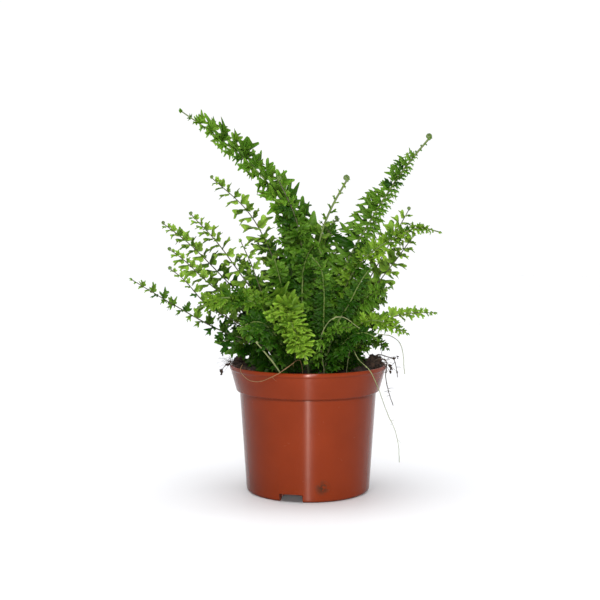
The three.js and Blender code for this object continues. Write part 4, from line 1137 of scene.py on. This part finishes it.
def grow_frond(name, frond, line, settings, chance):
    """A frond's stalk, rib and leaflets in one body of shells. On each side of the rib the
    leaflets follow one another at their own distance, the side that is behind growing first."""
    body = Body()
    cut = CUTS[frond.cut]
    sparse = frond.cut in SPARSE
    length = line_length(line)
    line = smooth_line(line, max(24, round(length / RIB_STEP)))
    line = line[: max(8, round(len(line) * RIB_END))]
    middle = round(len(line) * (frond.bare + 1) / 2)
    forward, up, side = frames_along(line, np.array(frond.face, float), min(middle, len(line) - 1))
    thickness = settings.stalk_radius * (0.85 if frond.stalk == "dark" else 1.2)
    tip_radius = add_rib(body, line, up, side, thickness, 0.25 if frond.tip == "curl" else 0.55)
    start = frond.bare * 0.9 if sparse or frond.bare > 0.4 else 0.05
    places = {1: start, -1: start + cut.pitch * frond.reach / 4 / length}
    while min(places.values()) < RIB_END:
        side_sign = min(places, key=places.get)
        along = places[side_sign]
        leafy = max(0.0, (along - frond.bare) / (1 - frond.bare))
        uneven = side_sign * float(np.interp(leafy, (0, 1), frond.uneven))
        place = along * (len(line) - 1)
        i = min(int(place), len(line) - 2)
        root = line[i] + (line[i + 1] - line[i]) * (place - i)
        frame_here = (forward[i], up[i], side[i])
        # Leaflets low in the crown are darker, less so on young fronds: partly older leaves, partly
        # painted shade of the crown.
        low_age_and_shade = 1 - np.clip((root[2] - 0.07) / 0.03, 0, 1)
        tone = frond.young - 0.45 + 0.7 * leafy - 0.65 * low_age_and_shade * (1 - frond.young)
        tone += 0.7 * noise.noise(Vector(root) / 0.009) + chance.normal(0, 0.22)
        if leafy > YOUNG_TIPS.get(frond.tip, 1):
            pose = (FOLDED_LENGTH, 0.5, 0.5, 0, 2.4, 0)
            add_leaflet(body, cut, root, frame_here, side_sign, pose, settings.blade, 0.6, chance)
            places[side_sign] += FOLDED_PITCH / length * chance.uniform(0.8, 1.2)
            continue
        reach = frond.full * (1 + uneven) * leaflet_reach(frond, along) * chance.uniform(0.85, 1.12)
        reach = max(LEAST_LENGTH, reach)
        crests = 1 + max(0, int(cut.crest - uneven + 1 - chance.uniform()))
        for crest in range(crests):
            pose = leaflet_pose(cut, reach * 0.65 ** crest, leafy, side_sign, crest, chance)
            pose = (*pose[:2], pose[2] - 0.8 * uneven, *pose[3:])
            shade_here = float(np.clip(tone + 0.1 * crest, 0, 1))
            add = add_pinna if cut.lobes == 5 and pose[0] > PINNA_LENGTH else add_leaflet
            add(body, cut, root, frame_here, side_sign, pose, settings.blade, shade_here, chance)
        pitch = max(LEAST_PITCH, cut.pitch * (0.35 * frond.reach + 0.65 * reach))
        places[side_sign] += pitch / length * chance.uniform(0.9, 1.1)
    end = (forward[-1], up[-1], side[-1])
    if frond.tip in CURLS:
        size = CURLS[frond.tip]
        add_curl(body, line[-1], end, tip_radius, cut, settings.blade, size, chance)
    else:
        add_tip(body, line[-1], end, cut, 0.0024, settings.blade, chance)
    return body.mesh(name)


def leaflet_pose(cut, reach, leafy, side_sign, crest, chance):
    """Its length, sweep, fold, roll, droop and twist. A crest stands up off the rib."""
    sweep = cut.sweep + (0.7 - cut.sweep) * leafy + chance.uniform(-0.15, 0.15)
    fold = 0.12 + chance.uniform(-0.25, 0.45) + crest * chance.uniform(0.6, 1.0)
    roll = side_sign * (0.35 + chance.uniform(-0.25, 0.25))
    droop = cut.droop * chance.uniform(0.3, 1.2)
    twist = side_sign * chance.uniform(-0.7, 0.5)
    return reach, sweep, fold, roll, droop, twist


# The operators, one for each kind of piece

class FERN_OT_stage(bpy.types.Operator):
    """Sets up the pale floor, the soft lights and the camera"""

    bl_idname = "fern.stage"
    bl_label = "Stage"

    def execute(self, context):
        settings = context.scene.fern_stage
        floor = self.make_floor()
        self.make_world(settings)
        key = self.make_light("key", "AREA", KEY_PLACE, settings.key_power, 0.14)
        self.make_light("strip", "AREA", STRIP_PLACE, settings.strip_power, 0.1, 0.2)
        glint = self.make_light("glint", "AREA", STRIP_PLACE, settings.glint_power, 0.01, 0.2)
        glint.data.color = (1.0, 0.72, 0.58)
        glint.visible_diffuse = False
        overhead = self.make_light("overhead", "SUN", OVERHEAD_PLACE, settings.floor_light)
        overhead.data.angle = math.radians(60)
        # The overhead light falls on the floor alone, and the key on everything but the floor.
        for lamp, state in ((overhead, "INCLUDE"), (key, "EXCLUDE")):
            lit = bpy.data.collections.new(f"lit_by_{lamp.name}")
            lit.objects.link(floor)
            lit.collection_objects[0].light_linking.link_state = state
            lamp.light_linking.receiver_collection = lit
        camera = bpy.data.objects.new("camera", bpy.data.cameras.new("camera"))
        context.scene.collection.objects.link(camera)
        camera.location = settings.camera_place
        camera.rotation_euler = (math.pi / 2 - settings.camera_pitch, 0, 0)
        camera.data.lens = settings.lens
        camera.data.clip_start = 0.01
        camera.data.clip_end = 20
        context.scene.camera = camera
        context.scene.view_settings.view_transform = "Standard"
        return {"FINISHED"}

    def make_floor(self):
        points, faces = spin([(0, -0.004), (3, -0.004), (3, 0), (0, 0)], 96)
        mesh = bpy.data.meshes.new("floor")
        mesh.from_pydata(points.tolist(), [], faces)
        mesh.materials.append(floor_finish())
        floor = bpy.data.objects.new("floor", mesh)
        bpy.context.scene.collection.objects.link(floor)
        return floor

    def make_world(self, settings):
        """A dim room before the plant and a white wall behind it, which shows white all round."""
        world = bpy.data.worlds.new("white_room")
        bpy.context.scene.world = world
        nodes = Nodes(world)
        towards = nodes.node("ShaderNodeTexCoord", out="Generated")
        back = nodes.node("ShaderNodeSeparateXYZ", None, {0: towards}, out="Y")
        share = nodes.between(back, -0.15, 0.35)
        light = settings.room + (settings.wall - settings.room) * share
        shown = nodes.node("ShaderNodeLightPath", out="Is Camera Ray")
        strength = light * (1 - shown) + settings.backdrop * shown
        background = nodes.node("ShaderNodeBackground", None, {
            "Color": (0.985, 0.99, 1.0), "Strength": strength})
        nodes.node("ShaderNodeOutputWorld", None, {"Surface": background}, out=None)

    def make_light(self, name, kind, place, power, width=None, height=None):
        """A lamp that points at the middle of the plant: a disk, or an upright strip if it has a
        height."""
        light = bpy.data.lights.new(name, kind)
        light.energy = power
        if width:
            light.shape = "RECTANGLE" if height else "DISK"
            light.size = width
        if height:
            light.size_y = height
        lamp = bpy.data.objects.new(name, light)
        bpy.context.scene.collection.objects.link(lamp)
        lamp.location = place
        aim = Vector(PLANT_MIDDLE) - Vector(place)
        lamp.rotation_euler = aim.to_track_quat("-Z", "Y").to_euler()
        return lamp


class FERN_OT_pot(bpy.types.Operator):
    """Makes the moulded nursery pot, with its band, lip, foot notches and drain holes"""

    bl_idname = "fern.pot"
    bl_label = "Pot"

    def execute(self, context):
        settings = context.scene.fern_pot
        mesh = bpy.data.meshes.new("pot_moulded")
        points, faces = spin(self.profile(settings), settings.sides)
        mesh.from_pydata(points.tolist(), [], faces)
        piece = add_piece("pot_moulded", mesh, [plastic_finish(settings)], ["pot"])
        for cutter in [*self.notches(settings), *self.drain_holes(settings)]:
            self.cut(context, piece, cutter)
        piece.data.polygons.foreach_set("use_smooth", [True] * len(piece.data.polygons))
        piece.data.set_sharp_from_angle(angle=math.radians(38))
        return {"FINISHED"}

    def profile(self, settings):
        """From the middle of the underside, round the lip, to the middle of the floor."""
        top, rim, base = settings.height, settings.rim_radius, settings.base_radius
        wall, lift = settings.wall, FLOOR_LIFT
        band_foot = top - settings.band_height
        corners = [
            (0, 0, 0),
            (PAD_RADIUS, 0, 0.0006),
            (0.0135, lift, 0.0006),
            (base - 0.0044, lift, 0.0006),
            (base - 0.0034, 0, 0.0005),
            (base, 0, 0.0022),
            (BODY_TOP_RADIUS, band_foot, 0.0006),
            (BAND_FOOT_RADIUS, band_foot + 0.0001, 0.0004),
            (rim - 0.0006, top - 0.0026, 0.0006),
            (rim, top - 0.0019, 0.0005),
            (rim, top - 0.0002, 0.0007),
            (rim - 0.0013, top, 0.0006),
            (rim - 0.0018, top - 0.0022, 0.0006),
            (BAND_FOOT_RADIUS - wall, band_foot + wall, 0.001),
            (BODY_TOP_RADIUS - wall, band_foot, 0.001),
            (base - wall, lift + wall + 0.001, 0.001),
            (base - wall - 0.001, lift + wall, 0.0006),
            (0.013, lift + wall, 0.0006),
            (0.0105, wall, 0.0006),
            (0, wall, 0),
        ]
        return rounded(corners)

    def cutter(self, shape):
        """A shape made into an object that can be cut out of the pot."""
        mesh = bpy.data.meshes.new("cutter")
        shape.to_mesh(mesh)
        shape.free()
        return bpy.data.objects.new("cutter", mesh)

    def box_cutter(self, size, place, turn):
        shape = bmesh.new()
        bmesh.ops.create_cube(shape, size=1, matrix=Matrix.Diagonal((*size, 1)))
        bmesh.ops.bevel(shape, geom=list(shape.edges), offset=0.0005, segments=2,
                        affect="EDGES", profile=0.5)
        shape.transform(Matrix.Rotation(turn, 4, "Z") @ Matrix.Translation(place))
        return self.cutter(shape)

    def notches(self, settings):
        """Three notches in the foot ring, one of them at the front."""
        size = (NOTCH_DEPTH, NOTCH_WIDTH, 2 * NOTCH_HEIGHT)
        place = (settings.base_radius, 0, 0)
        turns = [FIRST_NOTCH + math.radians(120 * i) for i in range(3)]
        return [self.box_cutter(size, place, turn) for turn in turns]

    def drain_holes(self, settings):
        """Six round holes in the floor, half way between the pad and the foot."""
        cutters = []
        distance = (PAD_RADIUS + settings.base_radius) / 2
        for i in range(6):
            turn = FIRST_NOTCH + math.radians(60 * (i + 0.5))
            shape = bmesh.new()
            bmesh.ops.create_cone(shape, cap_ends=True, segments=28, radius1=DRAIN_HOLE_RADIUS,
                                  radius2=DRAIN_HOLE_RADIUS, depth=0.004)
            shape.transform(Matrix.Translation(
                (distance * math.cos(turn), distance * math.sin(turn), 0.0036)))
            cutters.append(self.cutter(shape))
        return cutters

    def cut(self, context, piece, cutter):
        context.scene.collection.objects.link(cutter)
        modifier = piece.modifiers.new("cut", "BOOLEAN")
        modifier.operation = "DIFFERENCE"
        modifier.solver = "EXACT"
        modifier.object = cutter
        context.view_layer.update()
        shaped = piece.evaluated_get(context.evaluated_depsgraph_get())
        mesh = bpy.data.meshes.new_from_object(shaped)
        piece.modifiers.remove(modifier)
        piece.data = mesh
        bpy.data.objects.remove(cutter)


class FERN_OT_soil(bpy.types.Operator):
    """Makes the heaped peat, with its loose crumbs"""

    bl_idname = "fern.soil"
    bl_label = "Soil"

    def execute(self, context):
        settings = context.scene.fern_soil
        body = Body()
        self.add_ground(body, settings)
        chance = np.random.default_rng(SEED)
        self.add_crumbs(body, settings, chance)
        self.add_fibres(body, settings, chance)
        self.add_litter(body, chance)
        add_piece("soil_crumbly", body.mesh("soil_crumbly"), [peat_finish(settings)],
                  ["soil"])
        return {"FINISHED"}

    def add_ground(self, body, settings):
        edge = settings.edge_radius
        shares = np.linspace(1, 0, 61)[:-1]
        inside_pot = [(0, 0.0045), (0.0305, 0.0045), (0.0352, 0.0535), (0.0366, 0.0557)]
        surface = [(share * edge, settings.level) for share in shares]
        profile = inside_pot + surface + [(0, settings.level)]
        points, faces = spin(profile, 150)
        top = points[:, 2] > settings.level - 1e-6
        x, y = points[top, 0], points[top, 1]
        rough = np.array([noise.turbulence(Vector((a * 330, b * 330, 3.0)), 4, False)
                          for a, b in zip(x, y)])
        near_edge = np.clip((np.hypot(x, y) / edge - 0.97) / 0.03, 0, 1)
        height = soil_height(x, y, settings.level) + bank(x, y) + 0.0014 * (rough - 0.6)
        points[top, 2] = height - 0.0012 * near_edge
        body.add(points, [face if len(face) == 4 else (*face, face[-1]) for face in faces],
                 crumb_tone=0.0)

    def crumb(self, chance):
        """A lump of peat about its middle, with a radius of about one."""
        shape = bmesh.new()
        bmesh.ops.create_icosphere(shape, subdivisions=1, radius=1)
        points = np.array([vertex.co for vertex in shape.verts])
        faces = [[vertex.index for vertex in face.verts] for face in shape.faces]
        shape.free()
        faces = [(*face, face[-1]) for face in faces]
        return points * chance.uniform(0.62, 1.25, (len(points), 1)), faces

    def add_crumbs(self, body, settings, chance):
        kinds = [self.crumb(chance) for _ in range(12)]
        heaps = [heap for heap in HEAPS if heap[1] > 0.002]
        for i in range(settings.crumbs):
            if i % 3 == 0:
                (heap_x, heap_y), _, spread = heaps[int(chance.integers(len(heaps)))]
                x, y = np.array([heap_x, heap_y]) + chance.normal(0, spread * 0.55, 2)
            else:
                radius = settings.edge_radius * math.sqrt(chance.uniform(0, 0.97))
                turn = chance.uniform(0, 2 * math.pi)
                x, y = radius * math.cos(turn), radius * math.sin(turn)
            reach = math.hypot(x, y)
            if reach > settings.edge_radius + 0.0005:
                x, y = np.array([x, y]) * settings.edge_radius / reach
            size = 0.00035 + (0.0013 if i % 3 == 0 else 0.0009) * chance.uniform() ** 2.5
            points, faces = kinds[int(chance.integers(len(kinds)))]
            stretch = chance.uniform(0.7, 1.4, 3)
            turned = points * stretch * size @ self.turn(chance).T
            ground = float(soil_height(x, y, settings.level) + bank(x, y))
            place = np.array([x, y, ground + size * chance.uniform(-0.2, 0.5)])
            body.add(turned + place, faces, crumb_tone=0.55 * chance.uniform() ** 2)

    def turn(self, chance):
        """A turn in any direction, as three axes."""
        first, second = unit(chance.normal(size=3)), chance.normal(size=3)
        second = unit(second - first * np.dot(first, second))
        return np.column_stack([first, second, np.cross(first, second)])

    def add_fibres(self, body, settings, chance):
        """Fine dead roots that lie on the peat or stand out of its heaps."""
        for i in range(120):
            (heap_x, heap_y), _, spread = HEAPS[i % len(HEAPS)]
            x, y = np.array([heap_x, heap_y]) + chance.normal(0, spread * 0.7, 2)
            if math.hypot(x, y) > settings.edge_radius:
                continue
            start = np.array([x, y, float(soil_height(x, y, settings.level) + bank(x, y))])
            heading = unit(np.array([chance.normal(), chance.normal(), chance.uniform(0, 0.7)]))
            length = chance.uniform(0.002, 0.006)
            bow = chance.normal(0, 0.25, 3) * length
            line = smooth_line([start - heading * 0.0008, start + heading * length / 2 + bow,
                                start + heading * length], 7)
            add_tube(body, line, THREAD_FACE, chance.uniform(0.00006, 0.00014), 4,
                     crumb_tone=chance.uniform(0.2, 0.9))

    def add_litter(self, body, chance):
        """Rootlets that the lip holds at the left and the right, with clots of peat on them."""
        for i in range(34):
            turn = (math.pi + 0.06 if i % 3 else -0.12) + chance.normal(0, 0.17)
            line = self.rootlet_over_lip(turn, chance.uniform(0.001, 0.0075),
                                         chance.uniform(-0.004, 0.004), chance)
            self.add_thread(body, line, chance.uniform(0.00008, 0.00018), chance)
            if i % 6 == 0:
                self.add_clot(body, line[-1], (0.0007, 0.0005, 0.0004), 5, chance)
        line = self.rootlet_over_lip(math.pi + 0.09, 0.0045, -0.003, chance)
        self.add_thread(body, line, 0.0002, chance)
        below = line[-1] + np.array([0, 0, -0.0006])
        self.add_clot(body, below, (0.0005, 0.0005, 0.0013), 34, chance)
        self.add_clot(body, line[8], (0.0014, 0.0006, 0.0004), 14, chance)
        for turn, rise in ((0.02, 0.001), (-0.2, 0.0006), (math.pi - 0.05, 0.0004),
                           (math.pi + 0.3, 0.0004)):
            place = np.array([0.0375 * math.cos(turn), 0.0375 * math.sin(turn),
                              POT_HIGH.z - 0.0005 + rise])
            self.add_clot(body, place, (0.0016, 0.003, 0.0009), 60, chance)

    def rootlet_over_lip(self, turn, reach, hang, chance):
        """A line out of the peat, over the lip and out past it, where it ends."""
        out = np.array([math.cos(turn), math.sin(turn), 0])
        aside = np.array([-out[1], out[0], 0])
        start = out * 0.0372 + np.array([0, 0, POT_HIGH.z - 0.0015])
        over = out * (POT_HIGH.x - 0.001) + np.array([0, 0, POT_HIGH.z + 0.0009])
        end = out * (POT_HIGH.x + reach) + aside * chance.normal(0, 0.003)
        end[2] = POT_HIGH.z + hang
        middle = (over + end) / 2 + np.array([0, 0, 0.0008])
        return smooth_line([start, over, middle, end], 14)

    def add_thread(self, body, line, radius, chance):
        """A rootlet that thins towards its end."""
        radii = np.linspace(radius, radius * 0.4, len(line))
        add_tube(body, line, THREAD_FACE, radii, 5, crumb_tone=chance.uniform(0.1, 0.8))

    def add_clot(self, body, place, spread, count, chance):
        """Crumbs that cling together round a place."""
        for _ in range(count):
            points, faces = self.crumb(chance)
            size = chance.uniform(0.00025, 0.0007)
            turned = points * chance.uniform(0.7, 1.3, 3) * size @ self.turn(chance).T
            centre = place + chance.normal(0, 0.6, 3) * spread
            body.add(turned + centre, faces, crumb_tone=0.5 * chance.uniform() ** 2)


class FERN_OT_fronds(bpy.types.Operator):
    """Grows every frond, one piece each, with its stalk, rib and ruffled leaflets"""

    bl_idname = "fern.fronds"
    bl_label = "Fronds"

    def execute(self, context):
        settings = context.scene.fern_fronds
        leaves = {tone: leaf_finish(f"leaf_{tone}", tuple(getattr(settings, tone)), sheen)
                  for tone, sheen in (("bright", 0.42), ("thin", 0.42), ("mid", 0.38),
                                      ("dark", 0.34))}
        brown = (0.09, 0.045, 0.02)
        # The stalks are darker at the foot: partly soil stain, partly painted shade in the crown.
        stalks = {
            "pale": stem_finish("stalk_pale", (0.062, 0.095, 0.018), brown, 0.2),
            "dark": stem_finish("stalk_dark", (0.03, 0.036, 0.01), brown, 0.4),
        }
        crozier = stem_finish("crozier", (0.06, 0.1, 0.02), brown)
        ways = lay_ways()
        for i, frond in enumerate(FRONDS):
            node = f"frond_{i + 1:02d}"
            chance = np.random.default_rng(SEED + 100 + i)
            mesh = grow_frond(f"{node}_leafy", frond, ways[node], settings, chance)
            leaf = leaves["thin" if frond.cut in SPARSE else frond.tone]
            add_piece(f"{node}_leafy", mesh, [leaf, stalks[frond.stalk], crozier],
                      [node])
        return {"FINISHED"}


class FERN_OT_runners(bpy.types.Operator):
    """Lays the pale runners and the dark wiry roots"""

    bl_idname = "fern.runners"
    bl_label = "Runners and roots"

    def execute(self, context):
        settings = context.scene.fern_runners
        brown = (0.06, 0.035, 0.018)
        # The pale runner is darker where it leaves the soil: partly soil stain, partly painted
        # shade.
        finishes = {
            "pale": stem_finish("runner_pale", tuple(settings.pale), (0.2, 0.14, 0.06), 0.12),
            "shoot": stem_finish("shoot_pale", tuple(settings.pale), (0.2, 0.14, 0.06)),
            "tan": stem_finish("root_tan", tuple(settings.tan), brown),
            "dark": stem_finish("root_dark", tuple(settings.dark), brown),
        }
        ways = lay_ways()
        for i, runner in enumerate(RUNNERS):
            chance = np.random.default_rng(SEED + 300 + i)
            mesh = self.grow(runner, ways[runner.node], chance)
            add_piece(f"{runner.node}_fine", mesh, [finishes[runner.finish]],
                      [runner.node])
        return {"FINISHED"}

    def grow(self, runner, line, chance):
        """A thread that wanders and swells a little, with its fine side roots and buds. What is
        stored as its tone rises with the distance from the soil."""
        body = Body()
        line = smooth_line(line, max(30, round(line_length(line) / 0.0009)))
        wobble = np.cumsum(chance.normal(0, 0.00004, line.shape), axis=0)
        wobble -= np.linspace(0, 1, len(line))[:, None] * wobble[-1]
        line = line + wobble
        _, up, side = frames_along(line, np.array([0.3, -1, 0.2]), len(line) // 2)
        share = np.linspace(0, 1, len(line))
        swell = 1 + 0.12 * np.sin(share * 37) * np.sin(share * 11)
        points, faces = tube(line, up, side, runner.radius * (1.1 - 0.45 * share) * swell, 8)
        out_of_soil = np.repeat(share * line_length(line) / 0.055, 8)
        body.add(points, faces, leaflet_tone=np.concatenate([out_of_soil, [0, 1]]))
        for _ in range(runner.rootlets):
            self.add_rootlet(body, line, up, side, runner.radius, chance)
        for _ in range(runner.buds):
            self.add_bud(body, line, up, side, runner.radius, chance)
        return body.mesh(f"{runner.node}_fine")

    def add_rootlet(self, body, line, up, side, radius, chance):
        i = int(chance.integers(len(line) // 3, len(line) - 2))
        heading = unit(side[i] * chance.normal() + up[i] * chance.normal()
                       + np.array([0, 0, -0.35]))
        length = chance.uniform(0.0015, 0.004)
        middle = line[i] + heading * length * 0.5 + chance.normal(0, 0.0003, 3)
        thread = smooth_line([line[i], middle, line[i] + heading * length], 7)
        add_tube(body, thread, (0.2, 1, 0.4), radius * np.linspace(0.45, 0.15, len(thread)), 5,
                 leaflet_tone=1.0)

    def add_bud(self, body, line, up, side, radius, chance):
        i = int(chance.integers(len(line) // 3, len(line) - 3))
        turn = chance.uniform(0, 2 * math.pi)
        out = side[i] * math.cos(turn) + up[i] * math.sin(turn)
        stretch = np.linspace(-1, 1, 7)
        knob = line[i] + out * radius * 0.6 + (line[i + 1] - line[i]) * stretch[:, None]
        thickness = radius * (0.4 + 1.1 * np.sqrt(1 - stretch ** 2 * 0.98))
        add_tube(body, knob, (0.3, -1, 0.2), thickness, 8, leaflet_tone=1.0)


class FERN_PT_panel(bpy.types.Panel):
    """Lists the fern's pieces and their settings"""

    bl_idname = "FERN_PT_panel"
    bl_label = "Potted Fern"
    bl_space_type = "VIEW_3D"
    bl_region_type = "UI"
    bl_category = "Fern"

    def draw(self, context):
        for operator, name in zip(OPERATORS, SETTINGS):
            settings = getattr(context.scene, name)
            box = self.layout.box()
            box.operator(operator.bl_idname)
            for setting in SETTINGS[name].__annotations__:
                box.prop(settings, setting)


SETTINGS = {
    "fern_stage": StageSettings,
    "fern_pot": PotSettings,
    "fern_soil": SoilSettings,
    "fern_fronds": FrondSettings,
    "fern_runners": RunnerSettings,
}
OPERATORS = [FERN_OT_stage, FERN_OT_pot, FERN_OT_soil, FERN_OT_fronds, FERN_OT_runners]
CLASSES = [*SETTINGS.values(), *OPERATORS, FERN_PT_panel]


def register():
    for part in CLASSES:
        bpy.utils.register_class(part)
    for name, settings in SETTINGS.items():
        setattr(bpy.types.Scene, name, PointerProperty(type=settings))


def unregister():
    for name in SETTINGS:
        delattr(bpy.types.Scene, name)
    for part in reversed(CLASSES):
        bpy.utils.unregister_class(part)


def main():
    register()
    bpy.ops.fern.stage()
    bpy.ops.fern.pot()
    bpy.ops.fern.soil()
    bpy.ops.fern.fronds()
    bpy.ops.fern.runners()


if __name__ == "__main__":
    main()
